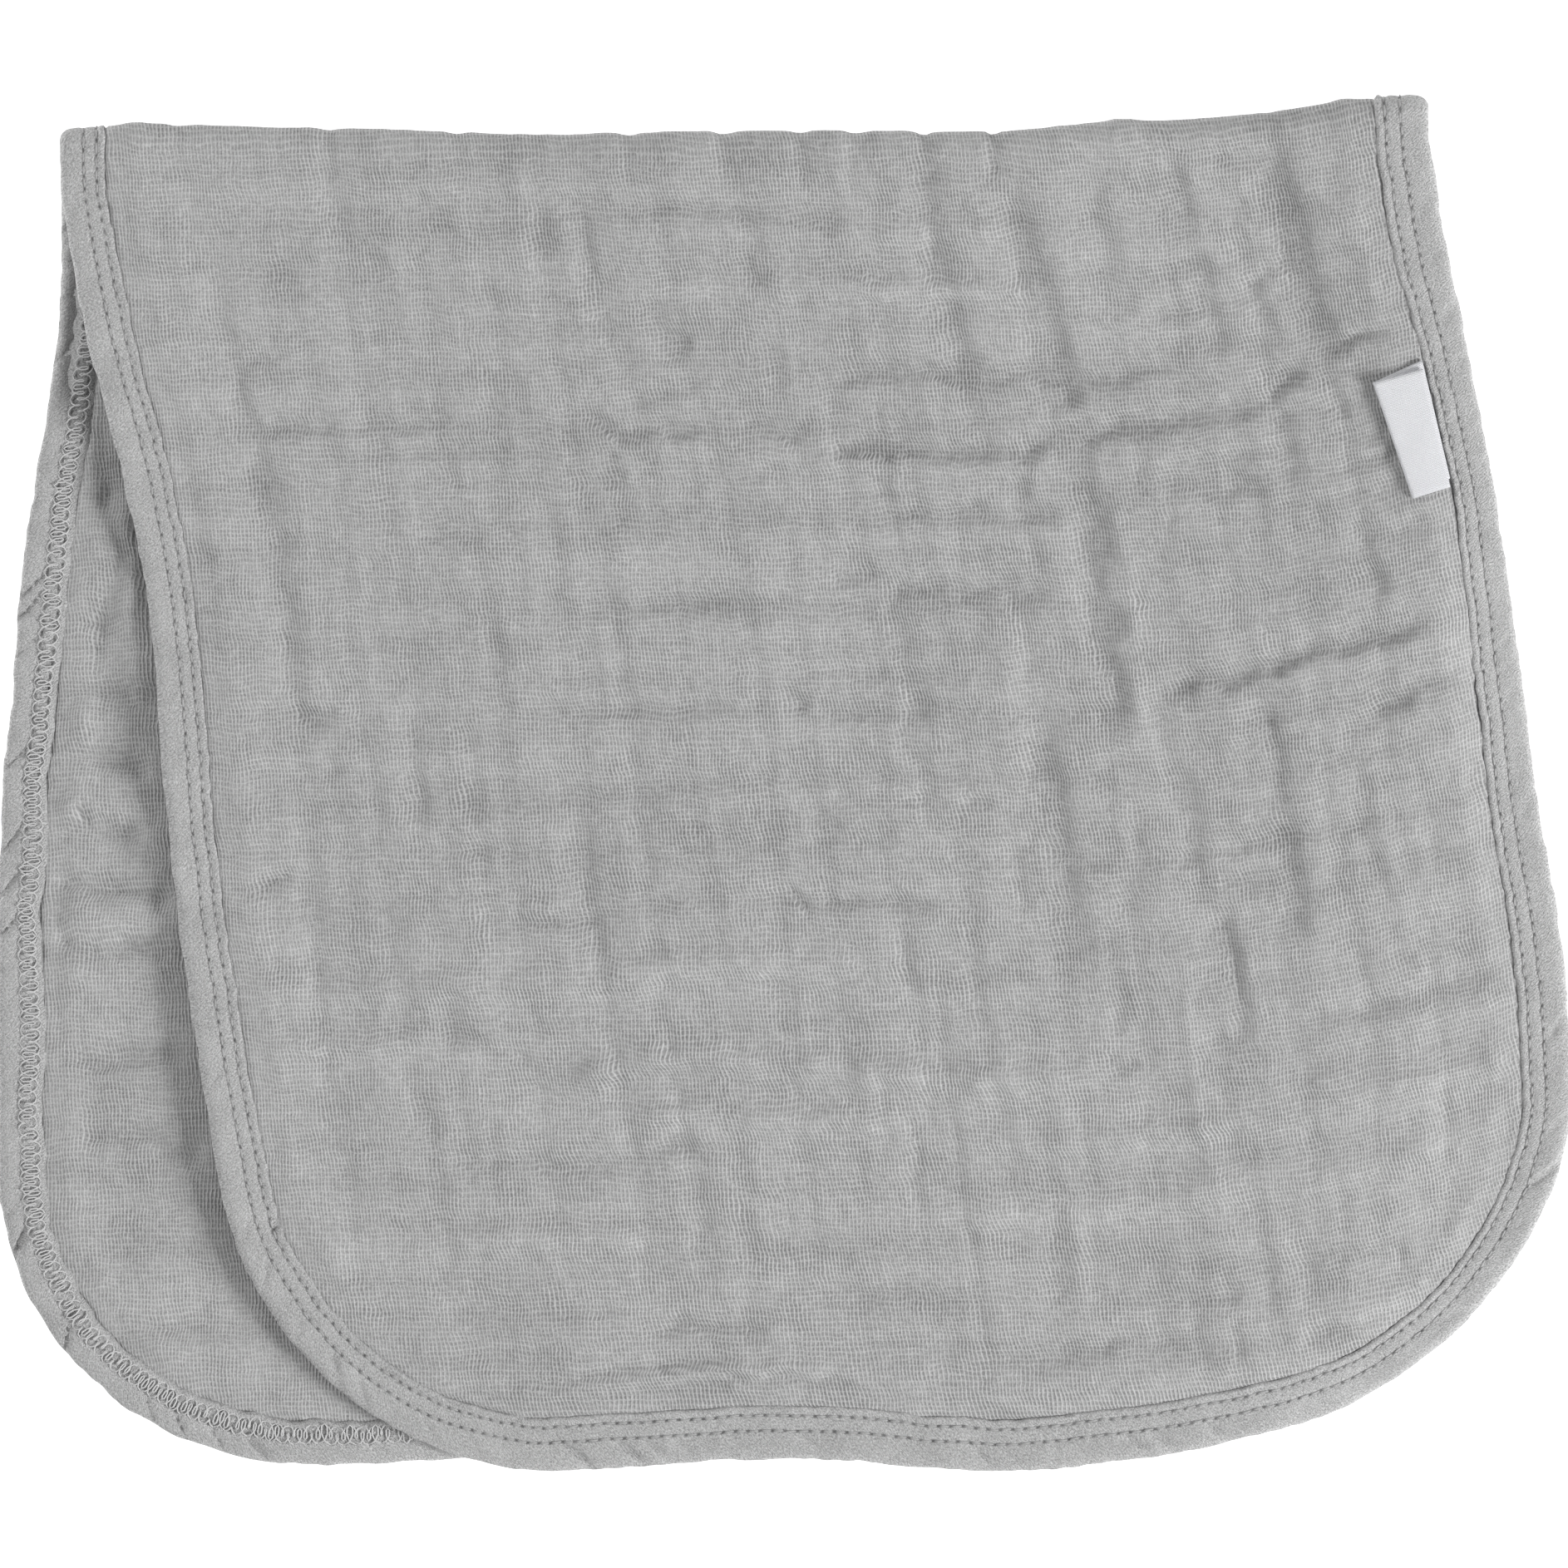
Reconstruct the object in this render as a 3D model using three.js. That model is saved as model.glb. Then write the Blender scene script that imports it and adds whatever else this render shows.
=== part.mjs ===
// Burp cloth: a rounded rectangle of many-ply gauze with a folded tape sewn all round its edge.
// It is folded in half across and lies flat, its fold away from the viewer and its face side up.
// Millimetres, +Z up, +X to the right, +Y towards the fold, the surface it lies on at z = 0.
import * as THREE from 'three';

// Driving dimensions of the flat cloth, tape included
const CLOTH_WIDTH = 254;
const CLOTH_LENGTH = 508;
const CORNER_RADIUS = 57;
const BINDING_WIDTH = 9.4;

// Thicknesses: the soft middle of the cloth, its edge pressed inside the tape, and the tape
const CLOTH_THICK = 2;
const EDGE_THICK = 1.4;
const TAPE_THICK = 0.6;
const PIECE_GAP = 0.3;
const EDGE_SETBACK = 2.2;

// How it lies: the turn of the fold, the air between the halves, and the sag off the lower half's edge
const FOLD_RADIUS = 3.1;
const LAYER_AIR = 0.6;
const FOLD_SETTLES_OVER = 42;
const PRESSED_TOP = 2.4;
const DROOP_REACH = 26;
const EDGE_CURL = 1.5;
const CURL_REACH = 9;

// Steps of the surface grids
const COLUMNS = 34;
const ROWS = { backCorner: 5, back: 10, fold: 8, front: 27, frontCorner: 6 };
const BINDING_STEPS = { side: 8, end: 9, corner: 8, fold: 1.25 };

const halfWidth = CLOTH_WIDTH / 2;
const halfLength = CLOTH_LENGTH / 2;
const bindingHalf = EDGE_THICK / 2 + PIECE_GAP + TAPE_THICK;
const quarterTurn = FOLD_RADIUS * Math.PI / 2;

// Plan of the folded cloth as it lies. Each half is a sheet between its fold, its two sides and its end,
// and the sides and ends run on to the square corners that the rounded ones are cut from.
const FOLD_LINE = [
  [-134.5, 116.5], [-118, 117.7], [-99, 117.2], [-62, 116.2], [-37, 115.7], [2, 116.5], [39, 116.2],
  [58, 118], [76, 118.6], [95, 120.6], [112, 122.8], [119.2, 122.6],
];
const FRONT_HALF = {
  left: [
    [-134.5, 116.5], [-133.7, 106], [-129.6, 83], [-122.8, 57], [-117.6, 28.5], [-115.4, 0.5],
    [-112.5, -26.5], [-109, -50], [-105, -75.5], [-98.5, -127.7],
  ],
  right: [
    [119.2, 122.6], [121.5, 106.5], [126, 83.5], [132, 52.5], [136.4, 22], [139.4, -1], [143.4, -24.5],
    [145.6, -44.5], [146.6, -70], [146.2, -107.5],
  ],
  end: [
    [-98.5, -127.7], [-76, -127.7], [-56.5, -127.3], [-45.5, -127.6], [-25.5, -126.5], [-7, -125.4],
    [11.5, -125.6], [30, -127.2], [44.5, -127.5], [71, -124.5], [97.5, -118.5], [124, -112.4],
    [146.2, -107.5],
  ],
};
const BACK_HALF = {
  left: [
    [-134.5, 116.5], [-134.5, 91], [-136, 76], [-138.5, 60.5], [-141, 45], [-142.6, 29.5],
    [-143.6, 14], [-145.2, 2], [-146, -16.5], [-146.2, -36.5], [-146.2, -63], [-146.2, -126.5],
  ],
  right: [
    [119.2, 122.6], [118.5, 99], [117, 76], [115, 52.5], [112.5, 22], [110.5, -9], [109, -39.5],
    [108.5, -70.5], [108, -116.5],
  ],
  end: [
    [-146.2, -126.5], [-99.5, -126.2], [-81, -126.5], [-64, -125.5], [-37.5, -124.5], [-7, -124],
    [24, -123], [54.5, -121.5], [85.5, -119], [108, -116.5],
  ],
};

// The main creases of the upper half, in plan: a soft trough (depth below 0) or ridge through three points
const CREASES = [
  { from: [10, 62], by: [38, 61], to: [97, 73], depth: -0.9, width: 5 },
  { from: [41, 108], by: [54, 70], to: [62, 8], depth: -1, width: 5 },
  { from: [46, 8], by: [51, -14], to: [55, -32], depth: -0.9, width: 5 },
  { from: [88, 20], by: [91, 2], to: [94, -20], depth: -0.9, width: 5 },
  { from: [80, -22], by: [83, -36], to: [86, -50], depth: -0.9, width: 5 },
  { from: [-66, -49], by: [-8, -50], to: [62, -54], depth: -0.9, width: 5 },
  { from: [62, -54], by: [98, -56], to: [134, -50], depth: -0.8, width: 5 },
  { from: [-94, -85], by: [-56, -84], to: [-8, -79], depth: -0.9, width: 5 },
  { from: [-38, 106], by: [-34, 92], to: [-31, 82], depth: -0.8, width: 4 },
  { from: [-104, 43], by: [-72, 43], to: [-38, 47], depth: -0.6, width: 5 },
  { from: [-66, 28], by: [-41, 30], to: [-8, 34], depth: -0.6, width: 5 },
  { from: [-104, -37], by: [-82, -37], to: [-54, -34], depth: -0.6, width: 5 },
  { from: [86, -43], by: [112, -40], to: [133, -33], depth: -0.6, width: 5 },
  { from: [-10, -74], by: [12, -77], to: [44, -78], depth: -0.6, width: 5 },
  { from: [40, -88], by: [70, -88], to: [100, -85], depth: -0.6, width: 5 },
  { from: [92, 118], by: [97, 96], to: [101, 79], depth: -0.7, width: 4 },
  { from: [0, 92], by: [22, 93], to: [54, 92], depth: 0.5, width: 5 },
  { from: [8, 37], by: [32, 36], to: [56, 36], depth: 0.5, width: 5 },
];
// Soft puffs of the many plies between the creases, in a grid a little out of square
const PUFF = { height: 0.6, across: 25, along: 27, lean: 0.12 };

// The label: four corners in plan, seam against the tape and fold free, with its rear ply set off a little
const LABEL = {
  seamTop: [116.6, 77], seamBottom: [121.2, 54.9], foldTop: [108.7, 74.5], foldBottom: [116, 52.8],
  ply: 0.4, air: 0.5, lift: 1.1, rearSkew: 1.6,
};

// A smooth step from 0 at the first value to 1 at the second
function rise(value, from, to) {
  return THREE.MathUtils.smoothstep(value, from, to);
}

// A smooth curve through points in plan, read by the share of its length
function planCurve(points) {
  const curve = new THREE.SplineCurve(points.map(([x, y]) => new THREE.Vector2(x, y)));
  curve.arcLengthDivisions = 400;
  return (share) => curve.getPointAt(THREE.MathUtils.clamp(share, 0, 1));
}

const foldLine = planCurve(FOLD_LINE);

function halfCurves(half) {
  return { left: planCurve(half.left), right: planCurve(half.right), end: planCurve(half.end) };
}

const frontHalf = halfCurves(FRONT_HALF);
const backHalf = halfCurves(BACK_HALF);

// A point of one half in plan: its sides blended across, plus its fold and end blended along,
// less its four corners blended both ways. across and along run from 0 to 1.
function planPoint(half, across, along) {
  const mix = (a, b, share) => new THREE.Vector2().lerpVectors(a, b, share);
  const sides = mix(half.left(along), half.right(along), across);
  const ends = mix(foldLine(across), half.end(across), along);
  const corners = mix(mix(foldLine(0), foldLine(1), across), mix(half.end(0), half.end(1), across), along);
  return sides.add(ends).sub(corners);
}

// Flat cloth coordinates: x across from the middle, y along from the fold, above 0 on the upper half
function planOf(x, y) {
  const half = y > 0 ? frontHalf : backHalf;
  const along = Math.max(0, Math.abs(y) - quarterTurn) / (halfLength - quarterTurn);
  return planPoint(half, x / CLOTH_WIDTH + 0.5, along);
}

// How far a flat point lies inside the cloth's rounded outline
function insetOf(x, y) {
  const dx = Math.abs(x) - (halfWidth - CORNER_RADIUS);
  const dy = Math.abs(y) - (halfLength - CORNER_RADIUS);
  return CORNER_RADIUS - (dx > 0 && dy > 0 ? Math.hypot(dx, dy) : Math.max(dx, dy));
}

// Half the thickness of the cloth and of what wraps it, thinner in the middle than at the bound edge
function restingHalf(inset) {
  const middleShare = rise(inset, BINDING_WIDTH + 1, BINDING_WIDTH + 10);
  return THREE.MathUtils.lerp(bindingHalf, CLOTH_THICK / 2, middleShare);
}

function clothHalf(inset) {
  const middleShare = rise(inset, BINDING_WIDTH + 1, BINDING_WIDTH + 8);
  return THREE.MathUtils.lerp(EDGE_THICK, CLOTH_THICK, middleShare) / 2;
}

// A point of a rounded corner of the flat outline, some inset within it, by its angle up from the side
function cornerPoint(sideX, sideY, angle, inset) {
  const reach = CORNER_RADIUS - inset;
  return [
    sideX * (halfWidth - CORNER_RADIUS + reach * Math.cos(angle)),
    sideY * (halfLength - CORNER_RADIUS + reach * Math.sin(angle)),
  ];
}

// The lower half's edge in plan, run on past the fold, where the upper half never leaves it
function lowerEdge() {
  const steps = 12;
  const side = halfLength - CORNER_RADIUS;
  const oneSide = (sign) => {
    const run = [];
    for (let i = 0; i < steps; i += 1) {
      run.push([sign * halfWidth, -THREE.MathUtils.lerp(quarterTurn, side, i / steps)]);
    }
    for (let i = 0; i <= steps; i += 1) run.push(cornerPoint(sign, -1, Math.PI / 2 * i / steps, 0));
    return run;
  };
  const edge = [...oneSide(1), ...oneSide(-1).reverse()].map(([x, y]) => planOf(x, y));
  const beyond = new THREE.Vector2(0, halfLength);
  return [edge[0].clone().add(beyond), ...edge, edge[edge.length - 1].clone().add(beyond)];
}

const LOWER_EDGE = lowerEdge();

function distanceToSegment(point, a, b) {
  const along = b.clone().sub(a);
  const share = THREE.MathUtils.clamp(point.clone().sub(a).dot(along) / along.lengthSq(), 0, 1);
  return point.distanceTo(a.clone().addScaledVector(along, share));
}

// How far a point in plan lies inside the lower half, below 0 outside it
function insideLower(point) {
  let distance = Infinity;
  let inside = false;
  for (let i = 0; i < LOWER_EDGE.length; i += 1) {
    const a = LOWER_EDGE[i];
    const b = LOWER_EDGE[(i + 1) % LOWER_EDGE.length];
    distance = Math.min(distance, distanceToSegment(point, a, b));
    const crosses = (a.y > point.y) !== (b.y > point.y);
    if (crosses && point.x < a.x + (b.x - a.x) * (point.y - a.y) / (b.y - a.y)) inside = !inside;
  }
  return inside ? distance : -distance;
}

// Height of the middle of the sheet. The lower half lies on the surface. The upper half rests on the lower
// one, sags where both are thin, droops to the surface past the lower edge and curls up at its left side.
function heightOf(x, y, plan) {
  const inset = insetOf(x, y);
  const resting = restingHalf(inset);
  const past = Math.abs(y) - quarterTurn;
  const foldHeight = FOLD_RADIUS + restingHalf(insetOf(x, 0));
  const settle = rise(past, 0, FOLD_SETTLES_OVER);
  if (y < 0) return THREE.MathUtils.lerp(foldHeight - FOLD_RADIUS, resting, settle);
  const inside = insideLower(plan);
  const edgeTop = 2 * bindingHalf;
  const support = edgeTop * rise(inside, -DROOP_REACH, -2)
    - (edgeTop - PRESSED_TOP) * rise(inside, BINDING_WIDTH + 2, BINDING_WIDTH + 24);
  const air = LAYER_AIR * rise(inside, -DROOP_REACH, -DROOP_REACH / 4);
  const curl = EDGE_CURL * Math.exp(-(x + halfWidth) / CURL_REACH) * rise(inside, 0, 12);
  return THREE.MathUtils.lerp(foldHeight + FOLD_RADIUS, support + air + resting + curl, settle);
}

// The middle of the sheet: on the fold it turns half a circle, on either side it lies in its half
function middle(x, y) {
  const plan = planOf(x, y);
  if (Math.abs(y) >= quarterTurn) return new THREE.Vector3(plan.x, plan.y, heightOf(x, y, plan));
  const turn = y / FOLD_RADIUS;
  const foldHeight = FOLD_RADIUS + restingHalf(insetOf(x, 0));
  return new THREE.Vector3(
    plan.x,
    plan.y + FOLD_RADIUS * Math.cos(turn),
    foldHeight + FOLD_RADIUS * Math.sin(turn),
  );
}

// The way out of the face side: up on the upper half, outwards round the fold, down on the lower half
function faceNormal(x, y) {
  const step = 0.05;
  const across = middle(x + step, y).sub(middle(x - step, y));
  const along = middle(x, y + step).sub(middle(x, y - step));
  return along.cross(across).normalize();
}

// A point of the sheet: flat place and height above its middle towards the face side
function sheetPoint(x, y, height) {
  return middle(x, y).addScaledVector(faceNormal(x, y), height);
}

// Creases and swells of the visible side, added to the thickness there
const creasePaths = CREASES.map((crease) => {
  const curve = planCurve([crease.from, crease.by, crease.to]);
  return { ...crease, points: Array.from({ length: 9 }, (_, i) => curve(i / 8)) };
});

function reliefOf(x, y, plan) {
  const fade = rise(insetOf(x, y), BINDING_WIDTH + 1, BINDING_WIDTH + 14);
  if (fade === 0) return 0;
  const puff = Math.sin(Math.PI * (x + PUFF.lean * y) / PUFF.across)
    * Math.sin(Math.PI * (y - PUFF.lean * x) / PUFF.along);
  let relief = PUFF.height * puff ** 2;
  for (const crease of creasePaths) {
    let distance = Infinity;
    for (let i = 1; i < crease.points.length; i += 1) {
      distance = Math.min(distance, distanceToSegment(plan, crease.points[i - 1], crease.points[i]));
    }
    relief += crease.depth * Math.exp(-((distance / crease.width) ** 2));
  }
  return Math.max(relief, -0.45 * CLOTH_THICK) * fade * rise(y, 0, 4 * quarterTurn);
}

// A closed body from rings of points, each a closed loop joined to the next one. The last ring joins the
// first, or both are capped across from their first points to their last ones.
function bodyFromRings(rings, capped) {
  const count = rings[0].length;
  const position = rings.flat().flatMap((point) => point.toArray());
  const index = [];
  for (let r = 0; r < rings.length - (capped ? 1 : 0); r += 1) {
    const a = r * count;
    const b = ((r + 1) % rings.length) * count;
    for (let k = 0; k < count; k += 1) {
      const next = (k + 1) % count;
      index.push(a + k, b + k, b + next, a + k, b + next, a + next);
    }
  }
  for (let k = 0; capped && k < count / 2 - 1; k += 1) {
    const last = (rings.length - 1) * count;
    const [a, b, c, d] = [k, k + 1, count - 2 - k, count - 1 - k];
    index.push(a, b, c, a, c, d, last + a, last + c, last + b, last + a, last + d, last + c);
  }
  const geometry = new THREE.BufferGeometry();
  geometry.setAttribute('position', new THREE.Float32BufferAttribute(position, 3));
  geometry.setIndex(index);
  return geometry;
}

// Rows of the cloth along its length, from the lower end round the fold to the upper end. Each row gives its
// flat y and its half width, and the rows near an end follow the rounded corners.
function clothRows() {
  const side = halfLength - CORNER_RADIUS;
  const rows = [];
  const corner = (sign, count, i) => {
    const [x, y] = cornerPoint(1, sign, Math.PI / 2 * i / count, EDGE_SETBACK);
    rows.push({ y, halfRow: x });
  };
  const straight = (from, to, count) => {
    for (let i = 0; i < count; i += 1) {
      rows.push({ y: THREE.MathUtils.lerp(from, to, i / count), halfRow: halfWidth - EDGE_SETBACK });
    }
  };
  for (let i = ROWS.backCorner; i > 0; i -= 1) corner(-1, ROWS.backCorner, i);
  straight(-side, -quarterTurn, ROWS.back);
  straight(-quarterTurn, quarterTurn, ROWS.fold);
  straight(quarterTurn, side, ROWS.front);
  for (let i = 0; i <= ROWS.frontCorner; i += 1) corner(1, ROWS.frontCorner, i);
  return rows;
}

// Places across a row from -1 to 1: the outer strip lies under the tape, the rest is even
function columnPlaces() {
  const inner = (halfWidth - BINDING_WIDTH - 1) / (halfWidth - EDGE_SETBACK);
  const places = [-1];
  for (let i = 0; i <= COLUMNS - 2; i += 1) places.push(inner * (2 * i / (COLUMNS - 2) - 1));
  places.push(1);
  return places;
}

// The cloth: each row is a loop over its face side and back along its reverse side
function clothGeometry() {
  const places = columnPlaces();
  const rows = clothRows().map(({ y, halfRow }) => {
    const across = places.map((place) => place * halfRow);
    const face = across.map((x) => sheetPoint(x, y, clothHalf(insetOf(x, y)) + reliefOf(x, y, planOf(x, y))));
    const reverse = across.map((x) => sheetPoint(x, y, -clothHalf(insetOf(x, y))));
    return [...face, ...reverse.reverse()];
  });
  return bodyFromRings(rows, true);
}

// The tape's section: place in from the outer edge and height from the middle of the sheet
function bindingSection() {
  const cavity = EDGE_THICK / 2 + PIECE_GAP;
  const cavityEnd = EDGE_SETBACK - 1.5 * PIECE_GAP;
  const rim = bindingHalf * 0.55;
  return [
    [BINDING_WIDTH, bindingHalf], [EDGE_SETBACK, bindingHalf], [0.2, rim], [0.2, -rim],
    [EDGE_SETBACK, -bindingHalf], [BINDING_WIDTH, -bindingHalf], [BINDING_WIDTH, -cavity],
    [cavityEnd, -cavity], [cavityEnd, cavity], [BINDING_WIDTH, cavity],
  ];
}

// Places round the flat outline, each a point and the way in, spaced closely where the edge turns
function outlinePlaces() {
  const side = halfLength - CORNER_RADIUS;
  const end = halfWidth - CORNER_RADIUS;
  const places = [];
  const straight = (from, to, inwards, step) => {
    const count = Math.round(Math.hypot(to[0] - from[0], to[1] - from[1]) / step);
    for (let i = 0; i < count; i += 1) {
      places.push({
        x: THREE.MathUtils.lerp(from[0], to[0], i / count),
        y: THREE.MathUtils.lerp(from[1], to[1], i / count),
        inwards,
      });
    }
  };
  const corner = (sideX, sideY, fromAngle, toAngle) => {
    const count = Math.round(CORNER_RADIUS * Math.PI / 2 / BINDING_STEPS.corner);
    for (let i = 0; i < count; i += 1) {
      const angle = THREE.MathUtils.lerp(fromAngle, toAngle, i / count);
      const [x, y] = cornerPoint(sideX, sideY, angle, 0);
      places.push({ x, y, inwards: [-sideX * Math.cos(angle), -sideY * Math.sin(angle)] });
    }
  };
  const quarter = Math.PI / 2;
  for (const [sideX, from] of [[1, -1], [-1, 1]]) {
    const inwards = [-sideX, 0];
    const at = (y) => [sideX * halfWidth, from * y];
    straight(at(side), at(quarterTurn), inwards, BINDING_STEPS.side);
    straight(at(quarterTurn), at(-quarterTurn), inwards, BINDING_STEPS.fold);
    straight(at(-quarterTurn), at(-side), inwards, BINDING_STEPS.side);
    corner(sideX, -from, 0, quarter);
    straight([sideX * end, -from * halfLength], [-sideX * end, -from * halfLength], [0, from],
      BINDING_STEPS.end);
    corner(-sideX, -from, quarter, 0);
  }
  return places;
}

// The binding: the tape's section carried round the whole edge, over the fold at both sides
function bindingGeometry() {
  const section = bindingSection();
  const rings = outlinePlaces().map(({ x, y, inwards }) => section.map(([inset, height]) => sheetPoint(
    x + inwards[0] * inset,
    y + inwards[1] * inset,
    height,
  )));
  return bodyFromRings(rings, false);
}

// The flat place of a point in plan on the upper half, found by a few corrections from a first guess
function flatOf(plan) {
  const flat = new THREE.Vector2(plan.x, FOLD_LINE[0][1] - plan.y);
  for (let i = 0; i < 12; i += 1) {
    const now = planOf(flat.x, flat.y);
    flat.x += plan.x - now.x;
    flat.y -= plan.y - now.y;
  }
  return flat;
}

// The label: a short woven strip folded back on itself. Its rings run from its top end to its bottom end,
// each a loop out along the rear ply, round the free fold and back along the upper ply.
function labelGeometry() {
  const { ply, air } = LABEL;
  const total = 2 * ply + air;
  const outer = [[0, 0], [0.92, 0], [1, total * 0.3], [1, total * 0.7], [0.92, total], [0, total]];
  const inner = [
    [0, total - ply], [0.88, total - ply], [0.94, total * 0.6], [0.94, total * 0.4], [0.88, ply], [0, ply],
  ];
  const loop = [...outer, ...inner];
  const steps = 6;
  const rings = [];
  for (let i = 0; i <= steps; i += 1) {
    const down = i / steps;
    rings.push(loop.map(([out, height]) => {
      const mix = (key) => (1 - down) * ((1 - out) * LABEL.seamTop[key] + out * LABEL.foldTop[key])
        + down * ((1 - out) * LABEL.seamBottom[key] + out * LABEL.foldBottom[key]);
      const skew = height < total / 2 ? LABEL.rearSkew * (1 - out) : 0;
      const plan = new THREE.Vector2(mix(0), mix(1) + skew);
      const flat = flatOf(plan);
      const under = middle(flat.x, flat.y).z + CLOTH_THICK / 2 + PUFF.height + PIECE_GAP;
      return new THREE.Vector3(plan.x, plan.y, under + height + LABEL.lift * out);
    }));
  }
  return bodyFromRings(rings, true);
}

// Colours and finish
const gauze = new THREE.MeshStandardMaterial({ color: 0xa9a9aa, roughness: 0.95, metalness: 0 });
const tape = new THREE.MeshStandardMaterial({ color: 0xafafb0, roughness: 0.9, metalness: 0 });
const satin = new THREE.MeshStandardMaterial({ color: 0xf1f0f3, roughness: 0.6, metalness: 0 });

const burpCloth = new THREE.Group();
for (const [name, geometry, material] of [
  ['cloth', clothGeometry(), gauze],
  ['binding', bindingGeometry(), tape],
  ['label', labelGeometry(), satin],
]) {
  const mesh = new THREE.Mesh(geometry, material);
  mesh.name = name;
  burpCloth.add(mesh);
}

export default burpCloth;
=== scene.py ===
"""Burp cloth of many-ply gauze, bound all round and folded in half, lying flat on a pale floor.

Shapes are worked out in millimetres in the CAD's frame (+Z up, +X right, +Y towards the fold) and
turned to metres when a mesh is made. A flat place on the cloth is x across from its middle and y along
from the fold, above 0 on the upper half. The sheet's face side is up on the upper half.
"""
from collections import namedtuple

import bpy
from mathutils import Matrix
import numpy as np


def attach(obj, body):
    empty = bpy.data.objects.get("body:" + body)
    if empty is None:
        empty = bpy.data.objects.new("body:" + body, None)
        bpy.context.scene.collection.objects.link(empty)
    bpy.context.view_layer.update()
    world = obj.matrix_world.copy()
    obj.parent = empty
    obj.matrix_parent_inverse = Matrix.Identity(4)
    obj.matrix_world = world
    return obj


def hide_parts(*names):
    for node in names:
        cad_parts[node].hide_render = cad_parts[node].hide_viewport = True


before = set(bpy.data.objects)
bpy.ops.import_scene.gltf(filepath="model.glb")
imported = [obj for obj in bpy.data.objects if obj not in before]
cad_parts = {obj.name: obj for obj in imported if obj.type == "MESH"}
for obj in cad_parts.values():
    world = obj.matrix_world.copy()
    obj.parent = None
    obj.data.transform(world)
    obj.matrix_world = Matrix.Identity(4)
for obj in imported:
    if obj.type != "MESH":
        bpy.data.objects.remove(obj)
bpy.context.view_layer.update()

MM = 0.001

# The flat cloth, tape included, as in the CAD
CLOTH_WIDTH = 254
CLOTH_LENGTH = 508
CORNER_RADIUS = 57
HALF_WIDTH = CLOTH_WIDTH / 2
HALF_LENGTH = CLOTH_LENGTH / 2

# Thicknesses: the soft middle, the edge pressed inside the tape, the tape, and half of all three together
CLOTH_THICK = 2
EDGE_THICK = 1.4
TAPE_THICK = 0.6
PIECE_GAP = 0.3
BINDING_WIDTH = 9.4
BINDING_HALF = EDGE_THICK / 2 + PIECE_GAP + TAPE_THICK
EDGE_SETBACK = 2.2

# How it lies: the turn of the fold, the air between the halves, and the sag off the lower half's edge
FOLD_RADIUS = 3.1
QUARTER_TURN = FOLD_RADIUS * np.pi / 2
LAYER_AIR = 0.6
FOLD_SETTLES_OVER = 42
PRESSED_TOP = 2.4
DROOP_REACH = 26
CURL_REACH = 8

# How high the upper half's left edge curls up, by flat distance from the fold
EDGE_LIFT = [
    (5, 0.2), (26, 1.2), (34, 3.0), (44, 1.6), (54, 3.4), (64, 1.8), (74, 3.0), (84, 0.6), (100, 0.6),
    (110, 2.4), (124, 2.8), (132, 0.8), (140, 2.4), (148, 0.8), (156, 2.0), (165, 1.8), (175, 2.2),
    (188, 2.6), (200, 2.2), (215, 2.4), (240, 1.6), (254, 0.8),
]

# Plan of the folded cloth: each half is a sheet between its fold, its two sides and its end
FOLD_LINE = [
    (-134.5, 116.5), (-118, 117.7), (-99, 117.2), (-62, 116.2), (-37, 115.7), (2, 116.5), (39, 116.2),
    (58, 118), (76, 118.6), (95, 120.6), (112, 122.8), (119.2, 122.6),
]
FRONT_HALF = {
    "left": [
        (-134.5, 116.5), (-133.7, 106), (-129.6, 83), (-122.8, 57), (-117.6, 28.5), (-115.4, 0.5),
        (-112.5, -26.5), (-109, -50), (-105, -75.5), (-98.5, -127.7),
    ],
    "right": [
        (119.2, 122.6), (121.5, 106.5), (126, 83.5), (132, 52.5), (136.4, 22), (139.4, -1),
        (143.4, -24.5), (145.6, -44.5), (146.6, -70), (146.2, -107.5),
    ],
    "end": [
        (-98.5, -127.7), (-76, -127.7), (-56.5, -127.3), (-45.5, -127.6), (-25.5, -126.5), (-7, -125.4),
        (11.5, -125.6), (30, -127.2), (44.5, -127.5), (71, -124.5), (97.5, -118.5), (124, -112.4),
        (146.2, -107.5),
    ],
}
BACK_HALF = {
    "left": [
        (-134.5, 116.5), (-134.5, 91), (-136, 76), (-138.5, 60.5), (-141, 45), (-142.6, 29.5),
        (-143.6, 14), (-145.2, 2), (-146, -16.5), (-146.2, -36.5), (-146.2, -63), (-146.2, -126.5),
    ],
    "right": [
        (119.2, 122.6), (118.5, 99), (117, 76), (115, 52.5), (112.5, 22), (110.5, -9), (109, -39.5),
        (108.5, -70.5), (108, -116.5),
    ],
    "end": [
        (-146.2, -126.5), (-99.5, -126.2), (-81, -126.5), (-64, -125.5), (-37.5, -124.5), (-7, -124),
        (24, -123), (54.5, -121.5), (85.5, -119), (108, -116.5),
    ],
}

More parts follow.
